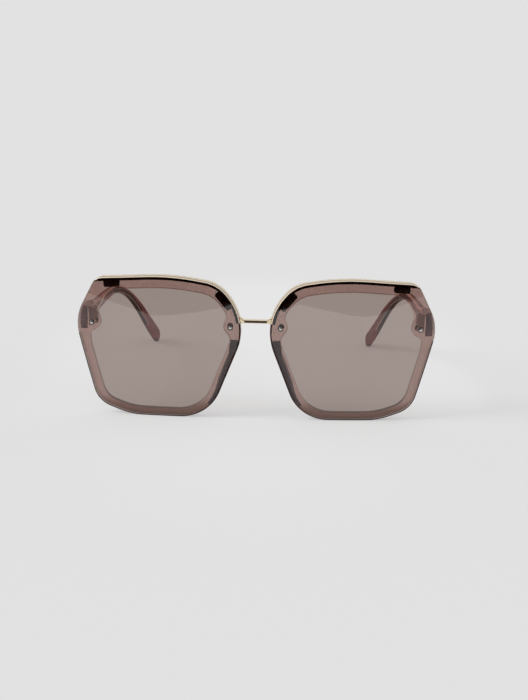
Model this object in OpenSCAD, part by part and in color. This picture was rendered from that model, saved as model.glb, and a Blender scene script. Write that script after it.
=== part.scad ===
// Sunglasses with large tinted lens plates laid over translucent backing rims.
// A metal brow bar runs along the top of each rim behind its lens, and one straight bar joins them.
// X is left to right, the front faces -Y, the open temples run towards +Y, and Z = 0 is the table.

/* [Lenses] */
// Width of one lens plate
lens_w = 67; // [60:0.5:72]
// Height of the lens plates
lens_h = 58.4; // [52:0.2:62]
// Thickness of a lens plate
lens_t = 1.8; // [1.4:0.1:2.4]
// Gap between the two lens plates at the bridge
lens_gap = 12.4; // [9:0.2:18]
// Radius of the domed front of a lens plate
dome_r = 220; // [180:5:400]
// Angle by which each half turns back from the bridge
wrap_angle = 4; // [1:0.5:8]

/* [Backing rims] */
// Depth of the backing rim behind the lens
rim_t = 2.4; // [1.8:0.1:3.2]
// Face width of the rim at the top
rim_top_w = 5.2; // [4.4:0.1:6]
// Face width of the rim along the slope to the bridge
rim_slope_w = 5.1; // [4.4:0.1:6]
// Face width of the rim beside the nose
rim_nose_w = 3.4; // [3:0.1:5]
// Face width of the rim at the bottom
rim_bottom_w = 3; // [2.4:0.1:5]
// Face width of the rim at the temples
rim_temple_w = 3.6; // [3:0.1:5]
// Face width of the rim at the upper outer corner
rim_corner_w = 6.8; // [5:0.1:7.5]
// Radius of the rim's lobe round the rivet beside the nose
nose_lobe_r = 3; // [2.4:0.1:3.6]
// Radius of the rim's lobe round the rivet at the temple
temple_lobe_r = 3.3; // [2.6:0.1:4]
// Fillet radius where a lobe runs out into the rim
lobe_fillet = 5; // [2:0.5:7]

/* [Brow bars and bridge] */
// Thickness of a brow bar, from its top face down
brow_t = 1.8; // [1.4:0.1:2.2]
// Depth of a brow bar behind the lens
brow_depth = 3; // [2.4:0.1:3.6]
// Height of the bridge bar
bridge_t = 1.3; // [1:0.1:2]
// Depth of the bridge bar from front to back
bridge_depth = 2.8; // [2:0.1:3.4]
// Height by which each end of the bridge bar flares to meet the brow bar
bridge_flare = 1.2; // [0.4:0.1:1.6]
// Thickness of the lugs that hang from the brow bars
lug_t = 0.8; // [0.5:0.1:1]
// Drop of a lug below its brow bar
lug_drop = 2.5; // [2.2:0.1:2.9]
// Length of the lug near the temple
outer_lug_w = 6.8; // [5:0.1:8]
// Length of the lug near the nose
inner_lug_w = 8.6; // [6:0.1:10]

/* [Rivets and screws] */
// Diameter of a lens rivet's domed head
rivet_head_d = 2.4; // [2:0.1:3]
// Height of a lens rivet's domed head
rivet_head_h = 0.6; // [0.4:0.05:0.9]
// Diameter of a lens rivet's shank
rivet_shank_d = 1.2; // [1:0.1:1.5]
// Diameter of a lug screw's head
lug_screw_head_d = 1.9; // [1.6:0.1:2.4]
// Diameter of a lug screw's shank
lug_screw_d = 1; // [0.8:0.1:1.2]

/* [Nose pads] */
// Reach of a nose pad behind the rim
pad_reach = 5.5; // [3:0.5:7]
// Width of a nose pad's rounded ridge
pad_ridge_w = 2.4; // [1.6:0.2:3.2]
// Sideways flare of a nose pad's ridge, away from the nose
pad_flare = 1.6; // [0.5:0.1:2.2]

/* [Hinges] */
// Height of the end block and of the temple's front end
block_h = 10; // [8.5:0.5:12]
// Thickness of the end block and of the temple's front end
block_t = 3.9; // [3.4:0.1:4.6]
// Depth from the lens fronts' plane to the joint between end block and temple
joint_depth = 19; // [17:0.5:22]
// Outer diameter of the hinge barrel
barrel_d = 2.6; // [2.2:0.1:3]
// Height of one hinge knuckle
knuckle_h = 2; // [1.6:0.1:2.4]
// Diameter of the hinge screw
hinge_screw_d = 1.2; // [1:0.1:1.4]
// Thickness of a hinge leaf
leaf_t = 0.9; // [0.7:0.1:1.1]
// Length of the hinge leaf on the temple
leaf_len = 8; // [6:0.5:10]

/* [Temples] */
// Depth from the lens fronts' plane to the end of a temple tip
temple_depth = 136; // [130:1:150]
// Height of the temple's slim shaft
shaft_h = 3.5; // [3.2:0.1:5]
// Thickness of the temple's slim shaft
shaft_t = 2.8; // [2.4:0.1:3.6]
// Height of the widened temple tip
tip_h = 8.4; // [7:0.2:10]
// Thickness of the temple tip
tip_t = 3.2; // [2.6:0.1:3.8]
// Angle by which the tip bends down behind the ear
bend_angle = 45; // [38:1:50]
// Radius of the path round the long bend
bend_r = 75; // [50:1:85]
// Distance by which each tip's centre lies inboard of the temple's front end
tip_inset = 15; // [10:0.2:17]
// Width of the flat core wire inside a temple
core_w = 2.2; // [1.6:0.1:2.6]
// Thickness of the flat core wire
core_t = 1; // [0.8:0.1:1.4]

/* [Hidden] */
// Clearance round pieces that are fixed together
fixed_clear = 0.03;
// Radial clearance of the turning hinge knuckle on its screw
turn_clear = 0.04;
// Gap between hinge knuckles and between temple and end block
hinge_gap = 0.08;
// Overrun of cuts past the faces that they go through
cut = 1;
// Facets of turned pieces and of the domed lens surfaces
turned_fn = 40;
dome_fn = 240;
// Arc steps at each corner of the lens outline
corner_steps = 8;

// The lens outline's corners from the upper outer one by way of the nose, as shares of lens_w and lens_h
corner_x_shares = [0.888, 0.42, 0.14, -0.05, 0.19, 0.673, 0.881, 1.017];
corner_z_shares = [0.973, 1.01, 0.955, 0.7, 0, 0, 0.083, 0.681];
// Corner radii as shares of lens_h
corner_radius_shares = [0.12, 1.6, 0.25, 0.38, 0.3, 0.5, 0.18, 0.31];
// Radii of the rim opening's corners as shares of lens_h
opening_radius_shares = [0.14, 1.5, 0.2, 0.3, 0.36, 0.5, 0.24, 0.3];

// Centre of the dome on the lens, from the middle of the bridge and the table
dome_centre_share = 0.49;
dome_x = lens_gap / 2 + dome_centre_share * lens_w;
dome_z = lens_h / 2;

// Rivet places as shares of lens_w and lens_h
rivet_z_share = 0.66;
rivet_z = rivet_z_share * lens_h;
nose_rivet_inset = 4.1;
temple_rivet_inset = 6.2;
nose_rivet_x = lens_gap / 2 + nose_rivet_inset;
temple_rivet_x = lens_gap / 2 + lens_w - temple_rivet_inset;
cap_h = 0.5;

// Ends of the brow bar: inboard of the lens's outer edge, and its height beside the bridge
brow_end_inset = 9;
brow_end_x = lens_gap / 2 + lens_w - brow_end_inset;
bridge_z_share = 0.7;
bridge_z = bridge_z_share * lens_h;
flare_len = 1.6;
// Drop of the bridge bar's lower face below bridge_z, where the brow bars end
bridge_drop = 1;

// Lugs: the outer one hangs at this place on the top edge, the inner one on the slope
outer_lug_inset = 10.4;
outer_lug_x = lens_gap / 2 + lens_w - outer_lug_inset - outer_lug_w / 2;
lug_corner_r = 0.9;
lug_screw_head_h = 0.5;
lug_screw_bite = 0.5;

// Levels through the thickness, measured inward from the lens's domed front
rim_back = lens_t + rim_t;
brow_back = lens_t + brow_depth;
lug_back = lens_t + lug_t;

// Hinge places in the whole front's frame
wrap_cos = cos(wrap_angle);
outer_ease = 0.3;
block_out_x = (lens_gap / 2 + lens_w) * wrap_cos - outer_ease;
block_in_x = block_out_x - block_t;
// The block's outer side lies this far inside the lens outline as far back as block_free_y
block_ease = 0.15;
block_free_y = 9.5;
block_rings = 5;
barrel_gap = 0.3;
barrel_x = block_in_x - barrel_d / 2 - barrel_gap;
hinge_z_share = 0.675;
hinge_z = hinge_z_share * lens_h;
barrel_h = 3 * knuckle_h + 2 * hinge_gap;
screw_head_d = 2.1;
screw_head_h = 0.6;
screw_slot_w = 0.35;
screw_slot_depth = 0.3;
screw_tail = 0.3;
leaf_rivet_d = 0.9;
leaf_rivet_pitch = 2.5;
front_rivet_len = 6;
temple_rivet_len = 2;
temple_rivet_pitch = 3.4;
temple_rivet_start = 3.2;

// Temple path: straight shaft, bend, straight tip
temple_start_y = joint_depth + hinge_gap;
tip_round = 3.2;
shaft_drop_angle = 0;
front_taper_len = 20;
front_taper_h_share = 1.35;
taper_end_share = 0.52;
bow_power = 2.4;
// The temple widens towards its tip from this share of the way between shaft and end
widen_from_share = 0.36;
// The tip's rounded lower corner touches the table, and its upper one ends at temple_depth
path_fall = hinge_z - tip_round * (1 - sin(bend_angle)) - (tip_h / 2 - tip_round) * cos(bend_angle);
bend_fall = bend_r * (cos(shaft_drop_angle) - cos(bend_angle));
bend_run = bend_r * (sin(bend_angle) - sin(shaft_drop_angle));
path_run = temple_depth - temple_start_y
    - tip_round * (1 - cos(bend_angle)) - (tip_h / 2 - tip_round) * sin(bend_angle);
// Straight lengths that make the path fall and run by these amounts
straight_run = path_run - bend_run;
straight_fall = path_fall - bend_fall;
tip_len = (straight_fall - straight_run * tan(shaft_drop_angle))
    / (sin(bend_angle) - cos(bend_angle) * tan(shaft_drop_angle));
shaft_len = (straight_run - tip_len * cos(bend_angle)) / cos(shaft_drop_angle);
bend_len = bend_r * (bend_angle - shaft_drop_angle) * PI / 180;
path_len = shaft_len + bend_len + tip_len;
core_start = 14;
core_end_inset = 26;
// Powers of the rounded sections: 2 is an ellipse, and higher is squarer
temple_corner_power = 3.2;
tip_corner_power = 2.2;
core_corner_power = 2.6;

// The middle of the whole depth lies at Y = 0: the lens domes' foremost points lie at this depth
front_y = dome_x * sin(wrap_angle) - dome_r * (1 - wrap_cos);
mid_y = (temple_depth + front_y) / 2;

lens_tint = [0.62, 0.55, 0.5, 0.6];
rim_mauve = [0.62, 0.47, 0.44, 0.8];
pad_mauve = [0.3, 0.22, 0.23];
gold = [0.86, 0.74, 0.52];
steel = [0.7, 0.69, 0.67];

// Corners of the lens outline, anticlockwise on the right lens, each [x, z]
function lens_corners() = [
    for (i = [0:len(corner_x_shares) - 1])
        [lens_gap / 2 + corner_x_shares[i] * lens_w, corner_z_shares[i] * lens_h]
];

// Unit vector from a to b
function toward(a, b) = (b - a) / norm(b - a);

// Centre of the arc of radius r that rounds corner i of a convex outline
function arc_centre(pts, i, r) =
    let (
        n = len(pts),
        a = toward(pts[i], pts[(i + n - 1) % n]),
        b = toward(pts[i], pts[(i + 1) % n]),
        half = acos(a * b) / 2,
        mid = (a + b) / norm(a + b)
    ) pts[i] + mid * r / sin(half);

// Heading of the outward normal of the side that leaves corner i
function side_heading(pts, i) =
    let (n = len(pts), d = toward(pts[(i + n) % n], pts[(i + 1) % n]))
        atan2(-d[0], d[1]);

// Brings an angle into -180 to 180
function wrapped(a) = a - 360 * floor((a + 180) / 360);

// Length of side i that the arc at its first corner takes
function arc_reach(pts, i, r) =
    r * tan(abs(wrapped(side_heading(pts, i) - side_heading(pts, i - 1))) / 2);

// Share by which all radii shrink where two neighbouring arcs would meet on a short side
function arc_fit(pts, radii) = min(1, min([
    for (i = [0:len(pts) - 1])
        let (j = (i + 1) % len(pts))
            norm(pts[j] - pts[i]) / (arc_reach(pts, i, radii[i]) + arc_reach(pts, j, radii[j]))
]));

// Rounded outline, drawn in by inset along its whole length
function rounded(pts, wanted, inset) = [
    let (radii = wanted * arc_fit(pts, wanted)) for (i = [0:len(pts) - 1])
        let (
            c = arc_centre(pts, i, radii[i]),
            from = side_heading(pts, i - 1),
            turn = wrapped(side_heading(pts, i) - from)
        )
            for (k = [0:corner_steps])
                let (a = from + turn * k / corner_steps)
                    c + (radii[i] - inset) * [cos(a), sin(a)]
];

// Where the line through a along u meets the line through b along v
function line_meet(a, u, b, v) =
    let (w = b - a) a + u * (w[0] * v[1] - w[1] * v[0]) / (u[0] * v[1] - u[1] * v[0]);

// Corners of an outline whose side i is moved inward by widths[i]
function drawn_in(pts, widths) = [
    let (n = len(pts))
        for (i = [0:n - 1])
            let (
                j = (i + n - 1) % n,
                u = toward(pts[j], pts[i]),
                v = toward(pts[i], pts[(i + 1) % n]),
                a = pts[i] - widths[j] * [cos(side_heading(pts, j)), sin(side_heading(pts, j))],
                b = pts[i] - widths[i] * [cos(side_heading(pts, i)), sin(side_heading(pts, i))]
            ) line_meet(a, u, b, v)
];

rim_widths = [
    rim_top_w, rim_top_w, rim_slope_w, rim_nose_w,
    rim_bottom_w, rim_bottom_w, rim_temple_w, rim_corner_w
];

module lens_outline(inset = 0) {
    polygon(rounded(lens_corners(), corner_radius_shares * lens_h, inset));
}

module opening_outline() {
    offset(r = lobe_fillet, $fn = turned_fn) offset(delta = -lobe_fillet) difference() {
        polygon(rounded(drawn_in(lens_corners(), rim_widths), opening_radius_shares * lens_h, 0));
        translate([nose_rivet_x, rivet_z]) circle(nose_lobe_r, $fn = turned_fn);
        translate([temple_rivet_x, rivet_z]) circle(temple_lobe_r, $fn = turned_fn);
    }
}

// The strip of the lens outline, as thick as the brow bar, from the outer corner to the bridge
module brow_outline(extra = 0) {
    difference() {
        lens_outline(-extra);
        lens_outline(brow_t);
        translate([0, -lens_h]) square([2 * lens_w, lens_h + bridge_z - bridge_drop]);
        translate([brow_end_x, 0]) square([lens_w, 2 * lens_h]);
    }
}

// Moves everything so that the middle of the depth is at Y = 0
module placed() {
    translate([0, -mid_y, 0]) children();
}

// One half of the front, 1 for the right and -1 for the left
module half(side) {
    placed() mirror([side < 0 ? 1 : 0, 0, 0]) rotate([0, 0, wrap_angle]) children();
}

// A piece beside the hinge, which follows the whole front's frame and not the turned half
module beside(side) {
    placed() mirror([side < 0 ? 1 : 0, 0, 0]) children();
}

// The dome at the given level below the lens front
module dome(level) {
    translate([dome_x, dome_r, dome_z]) sphere(dome_r - level, $fn = dome_fn);
}

// Upright plate whose outline is drawn in X and Z, from y0 back to y1
module upright(y0, y1) {
    translate([0, y1, 0]) rotate([90, 0, 0]) linear_extrude(y1 - y0) children();
}

// An outline cut to the layer between two levels of the dome
module layer(from, to) {
    sag = dome_r - sqrt(dome_r * dome_r - lens_w * lens_w / 2);
    difference() {
        intersection() {
            upright(-cut, sag + to) children();
            dome(from);
        }
        dome(to);
    }
}

// Stands a piece square to the dome at (x, z), with +Z pointing inward from the lens front
module on_dome(x, z) {
    lift = -asin((z - dome_z) / dome_r);
    turn = asin((x - dome_x) / (dome_r * cos(lift)));
    translate([dome_x, dome_r, dome_z])
        rotate([0, 0, turn]) rotate([lift, 0, 0])
            translate([0, -dome_r, 0]) rotate([-90, 0, 0]) children();
}

// Domed button of diameter d and height h, its flat face at Z = 0
module button(d, h) {
    r = (d * d / 4 + h * h) / (2 * h);
    intersection() {
        translate([0, 0, h - r]) sphere(r, $fn = turned_fn);
        cylinder(h = h, d = d, $fn = turned_fn);
    }
}

// Both rivet places of one lens
module rivet_places() {
    for (x = [nose_rivet_x, temple_rivet_x]) on_dome(x, rivet_z) children();
}

module rivet_holes() {
    rivet_places() translate([0, 0, -cut])
        cylinder(h = rim_back + 2 * cut, d = rivet_shank_d + 2 * fixed_clear, $fn = turned_fn);
}

// Middle of the side between corners i and i + 1, at the given share of its length
function side_point(i, share) =
    let (c = lens_corners()) c[i] + share * (c[(i + 1) % len(c)] - c[i]);

// The inner lug follows the slope's heading, the outer lug hangs from the nearly level top
inner_lug_share = 0.34;
outer_lug_heading = side_heading(lens_corners(), 0);
inner_lug_heading = side_heading(lens_corners(), 2);

// Lug outline in X and Z: a tab with rounded lower corners that meets the brow bar's lower face.
// With extra room round it, it is the pocket in the rim and reaches into the brow bar's own cut.
module lug_outline(place, heading, w, extra = 0) {
    intersection() {
        lens_outline(extra > 0 ? brow_t / 2 : brow_t);
        translate(place) rotate(heading - 90) {
            reach = brow_t + lug_drop + extra;
            translate([-w / 2 - extra, -reach + lug_corner_r]) square([w + 2 * extra, 2 * reach]);
            translate([-w / 2 + lug_corner_r - extra, -reach])
                square([w - 2 * lug_corner_r + 2 * extra, reach]);
            for (s = [-1, 1])
                translate([s * (w / 2 - lug_corner_r + extra), -reach + lug_corner_r])
                    circle(lug_corner_r, $fn = turned_fn);
        }
    }
}

outer_lug_place = side_point(0, (lens_corners()[0][0] - outer_lug_x)
    / (lens_corners()[0][0] - lens_corners()[1][0]));
inner_lug_place = side_point(2, inner_lug_share);

module outer_lug_outline(extra = 0) {
    lug_outline(outer_lug_place, outer_lug_heading, outer_lug_w, extra);
}

module inner_lug_outline(extra = 0) {
    lug_outline(inner_lug_place, inner_lug_heading, inner_lug_w, extra);
}

// Places of the lug screws: the middle of each lug's drop
function below(place, heading) =
    place - (brow_t + lug_drop / 2) * [cos(heading), sin(heading)];

module lug_screw_places() {
    for (p = [below(outer_lug_place, outer_lug_heading), below(inner_lug_place, inner_lug_heading)])
        on_dome(p[0], p[1]) children();
}

module lug_screw_holes() {
    lug_screw_places() translate([0, 0, lens_t + lug_t - lug_screw_bite - fixed_clear])
        cylinder(h = rim_back + cut, d = lug_screw_d + 2 * fixed_clear, $fn = turned_fn);
}

module lens(side) {
    color(lens_tint) half(side) difference() {
        layer(0, lens_t) lens_outline();
        rivet_holes();
    }
}

// X of the lens outline's outer side at height z, less block_ease, where the rim's back ends
function side_limit_x(z) =
    let (
        i = len(corner_radius_shares) - 1,
        radii = corner_radius_shares * lens_h,
        r = radii[i] * arc_fit(lens_corners(), radii),
        c = arc_centre(lens_corners(), i, r),
        x = c[0] + sqrt(max(1, pow(r - block_ease, 2) - pow(z - c[1], 2)))
    ) x * wrap_cos - block_free_y * sin(wrap_angle);

// Ring of the end block: the temple's front section, held inside the lens outline near the rim
function block_ring(y) =
    let (free = max(0, (y - block_free_y) / (joint_depth - block_free_y))) [
        for (p = bar_ring(0, block_t, block_h, temple_corner_power, temple_sides))
            [p[0] + (1 - free) * min(0, side_limit_x(p[2]) - p[0]), y, p[2]]
    ];

// End block: the bar behind the rim's outer side that carries the hinge and ends flush with the temple
module end_block() {
    intersection() {
        loft([for (i = [0:block_rings]) block_ring(block_free_y + (joint_depth - block_free_y)
            * (i == 0 ? -1 : (i - 1) / (block_rings - 1)))]);
        rotate([0, 0, wrap_angle]) dome(lens_t + rim_t / 2);
    }
}

module rim(side) {
    color(rim_mauve) difference() {
        union() {
            half(side) layer(lens_t, rim_back) difference() {
                lens_outline();
                opening_outline();
                brow_outline(cut);
            }
            beside(side) end_block();
        }
        half(side) layer(lens_t - cut, lug_back + fixed_clear) {
            outer_lug_outline(fixed_clear);
            inner_lug_outline(fixed_clear);
        }
        half(side) {
            rivet_holes();
            lug_screw_holes();
        }
        beside(side) {
            leaf_front_plate(fixed_clear);
            front_rivet_shanks(fixed_clear);
        }
    }
}

module brow_bar(side) {
    color(gold) half(side) layer(lens_t, brow_back) brow_outline();
}

// Straight bar between the brow bars, flared where it meets them
module bridge_bar() {
    half_len = lens_gap / 2 + cut;
    depth_here = dome_r - sqrt(pow(dome_r - lens_t, 2) - pow(dome_x - lens_gap / 2, 2)
        - pow(bridge_z - dome_z, 2));
    front = depth_here * wrap_cos + lens_gap / 2 * sin(wrap_angle);
    low = bridge_z - bridge_drop;
    top = low + bridge_t;
    flare_x = lens_gap / 2 - flare_len;
    flare_top = top + bridge_flare * (half_len - flare_x) / flare_len;
    color(gold) placed() difference() {
        upright(front, front + bridge_depth) polygon([
            [-half_len, low], [half_len, low],
            [half_len, flare_top], [flare_x, top], [-flare_x, top], [-half_len, flare_top]
        ]);
        for (s = [0, 1]) mirror([s, 0, 0]) rotate([0, 0, wrap_angle])
            upright(-cut, joint_depth) lens_outline();
    }
}

module lug_outer(side) {
    color(gold) half(side) difference() {
        layer(lens_t, lug_back) outer_lug_outline();
        lug_screw_holes();
    }
}

module lug_inner(side) {
    color(gold) half(side) difference() {
        layer(lens_t, lug_back) inner_lug_outline();
        lug_screw_holes();
    }
}

// Small screws driven from behind the rim into the lugs
module lug_screws(side) {
    color(steel) half(side) lug_screw_places() {
        translate([0, 0, lens_t + lug_t - lug_screw_bite])
            cylinder(h = rim_t - lug_t + lug_screw_bite, d = lug_screw_d, $fn = turned_fn);
        translate([0, 0, rim_back]) difference() {
            cylinder(h = lug_screw_head_h, d = lug_screw_head_d, $fn = turned_fn);
            translate([-lug_screw_head_d, -screw_slot_w / 2, lug_screw_head_h - screw_slot_depth])
                cube([2 * lug_screw_head_d, screw_slot_w, lug_screw_head_h]);
        }
    }
}

module lens_rivets(side) {
    color(steel) half(side) rivet_places() {
        cylinder(h = rim_back, d = rivet_shank_d, $fn = turned_fn);
        mirror([0, 0, 1]) button(rivet_head_d, rivet_head_h);
    }
}

module rivet_caps(side) {
    color(steel) half(side) rivet_places() translate([0, 0, rim_back]) button(rivet_head_d, cap_h);
}

// The nose side of the rim, from the slope's end down to the lower corner
pad_top_share = 0.575;
pad_bottom_share = 0.12;
pad_edge = 0.3;
pad_root_w = 3.1;
pad_rings = 10;
pad_sides = 12;
pad_end_share = 0.35;
// The pad's fullest place lies above its middle, and its section is slightly wider than an ellipse
pad_skew = 0.8;
pad_fullness = 1.08;

// How far the rim beside the nose lies behind the middle of the lens
front_sag = pow(dome_x - nose_rivet_x, 2) / (2 * dome_r);

// X of the straight nose side of the outline at height z
function nose_x(z) =
    let (a = lens_corners()[3], b = lens_corners()[4]) a[0] + (z - a[1]) / (b[1] - a[1]) * (b[0] - a[0]);

// One ring of a nose pad at share t of its height, from the rim's back to the ridge
function pad_ring(t) =
    let (
        z = lens_h * (pad_top_share + t * (pad_bottom_share - pad_top_share)),
        swell = pad_end_share + (1 - pad_end_share) * sin(180 * pow(t, pad_skew)),
        x0 = nose_x(z) + pad_edge,
        y0 = lens_t,
        y1 = rim_back + front_sag + pad_reach * swell
    ) [
        for (k = [0:pad_sides - 1])
            let (
                a = 360 * k / pad_sides,
                back = (1 + sin(a)) / 2,
                w = pad_root_w + (pad_ridge_w - pad_root_w) * back,
                shift = pad_flare * back * swell
            )
                [x0 + pad_root_w / 2 + shift + pad_fullness * w / 2 * cos(a), y0 + (y1 - y0) * back, z]
    ];

module loft(rings) {
    n = len(rings[0]);
    m = len(rings);
    polyhedron(
        points = [for (r = rings) for (p = r) p],
        faces = concat(
            [[for (k = [0:n - 1]) n - 1 - k]],
            [[for (k = [0:n - 1]) (m - 1) * n + k]],
            [
                for (i = [0:m - 2]) for (k = [0:n - 1])
                    let (a = i * n + k, b = i * n + (k + 1) % n) each [[a, b, b + n], [a, b + n, a + n]]
            ]
        ),
        convexity = 4
    );
}

module nose_pad(side) {
    color(pad_mauve) half(side) intersection() {
        loft([for (i = [0:pad_rings]) pad_ring(i / pad_rings)]);
        dome(rim_back);
    }
}

module knuckle(level, clear = 0) {
    translate([barrel_x, joint_depth, hinge_z - barrel_h / 2 + level * (knuckle_h + hinge_gap) - clear])
        cylinder(h = knuckle_h + 2 * clear, d = barrel_d + 2 * clear, $fn = turned_fn);
}

module hinge_bore(clear) {
    translate([barrel_x, joint_depth, hinge_z - barrel_h / 2 - cut])
        cylinder(h = barrel_h + 2 * cut, d = hinge_screw_d + 2 * clear, $fn = turned_fn);
}

// Plate let into the back face of the end block
module leaf_front_plate(clear = 0) {
    translate([barrel_x, joint_depth - leaf_t - clear, hinge_z - barrel_h / 2 - clear])
        cube([block_out_x - block_t / 4 - barrel_x + clear, leaf_t + clear, barrel_h + 2 * clear]);
}

module front_rivet_shanks(clear = 0) {
    for (s = [-1, 1])
        translate([block_in_x + block_t / 2, joint_depth + clear, hinge_z + s * leaf_rivet_pitch / 2])
            rotate([90, 0, 0])
                cylinder(h = front_rivet_len + 2 * clear, d = leaf_rivet_d + 2 * clear, $fn = turned_fn);
}

module hinge_leaf_front(side) {
    color(gold) beside(side) difference() {
        union() {
            leaf_front_plate();
            knuckle(0);
            knuckle(2);
        }
        knuckle(1, hinge_gap);
        hinge_bore(fixed_clear);
        front_rivet_shanks(fixed_clear);
    }
}

module hinge_rivets_front(side) {
    color(steel) beside(side) front_rivet_shanks();
}

module hinge_screw(side) {
    color(steel) beside(side) translate([barrel_x, joint_depth, hinge_z]) difference() {
        union() {
            translate([0, 0, -barrel_h / 2 - screw_tail])
                cylinder(h = barrel_h + screw_tail, d = hinge_screw_d, $fn = turned_fn);
            translate([0, 0, barrel_h / 2]) cylinder(h = screw_head_h, d = screw_head_d, $fn = turned_fn);
        }
        translate([-screw_head_d, -screw_slot_w / 2, barrel_h / 2 + screw_head_h - screw_slot_depth])
            cube([2 * screw_head_d, screw_slot_w, screw_head_h]);
    }
}

// Angle of the path at distance s from the temple's front end
function path_angle(s) =
    s < shaft_len ? shaft_drop_angle
    : s > shaft_len + bend_len ? bend_angle
    : shaft_drop_angle + (bend_angle - shaft_drop_angle) * (s - shaft_len) / bend_len;

// Depth and height of the path at distance s
function path_point(s) =
    let (
        a = min(s, shaft_len),
        b = max(0, min(s - shaft_len, bend_len)),
        c = max(0, s - shaft_len - bend_len),
        e = path_angle(shaft_len + b)
    ) [
        temple_start_y + a * cos(shaft_drop_angle) + bend_r * (sin(e) - sin(shaft_drop_angle))
            + c * cos(bend_angle),
        hinge_z - a * sin(shaft_drop_angle) - bend_r * (cos(shaft_drop_angle) - cos(e))
            - c * sin(bend_angle)
    ];

// X of the path: the temples draw together towards the tips
function path_x(s) = block_in_x + block_t / 2 - tip_inset * pow(s / path_len, bow_power);

// Eases from 0 at a to 1 at b
function eased(s, a, b) =
    let (t = max(0, min(1, (s - a) / (b - a)))) t * t * (3 - 2 * t);

// Share of the widening towards the tip at distance s
function widened(s) =
    eased(s, shaft_len + widen_from_share * (path_len - shaft_len), path_len - tip_round / 2);

// Height and thickness of the temple at distance s
function temple_h(s) =
    block_h + (shaft_h * front_taper_h_share - block_h) * eased(s, 0, front_taper_len)
        + shaft_h * (1 - front_taper_h_share) * eased(s, front_taper_len, taper_end_share * path_len)
        + (tip_h - shaft_h) * widened(s);

function temple_t(s) =
    block_t + (shaft_t - block_t) * eased(s, leaf_len + front_taper_len / 4, shaft_len)
        + (tip_t - shaft_t) * widened(s);

// Ring of a bar at distance s along the path, w thick and h high, with rounded corners
function bar_ring(s, w, h, power, sides) =
    let (p = path_point(s), e = path_angle(s), x = path_x(s)) [
        for (k = [0:sides - 1])
            let (
                a = 360 * (k + 0.5) / sides,
                u = sign(cos(a)) * pow(abs(cos(a)), 2 / power) * w / 2,
                v = sign(sin(a)) * pow(abs(sin(a)), 2 / power) * h / 2
            )
                [x + u, p[0] + v * sin(e), p[1] + v * cos(e)]
    ];

temple_sides = 16;
temple_steps = 30;
core_sides = 8;
core_steps = 16;
tip_cap_steps = 4;
// The tip's rounded end stops short of a quarter turn and thins by this share
tip_cap_angle = 84;
tip_thinning = 0.8;

module temple_solid() {
    loft(concat(
        [
            for (i = [0:temple_steps])
                let (s = (path_len - tip_round) * i / temple_steps)
                    bar_ring(s, temple_t(s), temple_h(s), temple_corner_power, temple_sides)
        ],
        [
            for (i = [1:tip_cap_steps])
                let (
                    a = tip_cap_angle * i / tip_cap_steps,
                    s = path_len - tip_round * (1 - sin(a)),
                    w = tip_t * (1 - tip_thinning * (1 - cos(a))),
                    h = tip_h - 2 * tip_round * (1 - cos(a))
                )
                    bar_ring(s, w, h, tip_corner_power, temple_sides)
        ]
    ));
}

module core_solid(clear = 0) {
    loft([
        for (i = [0:core_steps])
            let (
                from = core_start - clear,
                to = path_len - core_end_inset + clear,
                s = from + (to - from) * i / core_steps
            )
                bar_ring(s, core_t + 2 * clear, core_w + 2 * clear, core_corner_power, core_sides)
    ]);
}

// Plate let into the inner face of the temple, with the arm that reaches the middle knuckle
module leaf_temple_plate(clear = 0) {
    translate([block_in_x - clear, temple_start_y + leaf_t - clear, hinge_z - barrel_h / 2 - clear])
        cube([leaf_t + 2 * clear, leaf_len + 2 * clear, barrel_h + 2 * clear]);
}

module leaf_temple_arm() {
    translate([barrel_x, temple_start_y + leaf_t, hinge_z - knuckle_h / 2])
        cube([block_in_x - barrel_x + leaf_t / 2, leaf_t, knuckle_h]);
}

module temple_rivet_shanks(clear = 0) {
    for (i = [0, 1])
        translate([
            block_in_x - clear,
            temple_start_y + temple_rivet_start + i * temple_rivet_pitch,
            hinge_z
        ])
            rotate([0, 90, 0])
                cylinder(h = temple_rivet_len + 2 * clear, d = leaf_rivet_d + 2 * clear, $fn = turned_fn);
}

module temple(side) {
    color(rim_mauve) beside(side) difference() {
        temple_solid();
        core_solid(fixed_clear);
        leaf_temple_plate(fixed_clear);
        temple_rivet_shanks(fixed_clear);
    }
}

module temple_core(side) {
    color(steel) beside(side) core_solid();
}

module hinge_leaf_temple(side) {
    color(gold) beside(side) difference() {
        union() {
            leaf_temple_plate();
            leaf_temple_arm();
            knuckle(1);
        }
        hinge_bore(turn_clear);
        temple_rivet_shanks(fixed_clear);
    }
}

module hinge_rivets_temple(side) {
    color(steel) beside(side) temple_rivet_shanks();
}

lens(-1);  // lens_left
lens(1);  // lens_right
rim(-1);  // rim_left
rim(1);  // rim_right
brow_bar(-1);  // brow_bar_left
brow_bar(1);  // brow_bar_right
bridge_bar();
lug_outer(-1);  // lug_outer_left
lug_outer(1);  // lug_outer_right
lug_inner(-1);  // lug_inner_left
lug_inner(1);  // lug_inner_right
lug_screws(-1);  // lug_screws_left
lug_screws(1);  // lug_screws_right
lens_rivets(-1);  // lens_rivets_left
lens_rivets(1);  // lens_rivets_right
rivet_caps(-1);  // rivet_caps_left
rivet_caps(1);  // rivet_caps_right
nose_pad(-1);  // nose_pad_left
nose_pad(1);  // nose_pad_right
hinge_leaf_front(-1);  // hinge_leaf_front_left
hinge_leaf_front(1);  // hinge_leaf_front_right
hinge_rivets_front(-1);  // hinge_rivets_front_left
hinge_rivets_front(1);  // hinge_rivets_front_right
hinge_screw(-1);  // hinge_screw_left
hinge_screw(1);  // hinge_screw_right
temple(-1);  // temple_left
temple(1);  // temple_right
temple_core(-1);  // temple_core_left
temple_core(1);  // temple_core_right
hinge_leaf_temple(-1);  // hinge_leaf_temple_left
hinge_leaf_temple(1);  // hinge_leaf_temple_right
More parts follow.
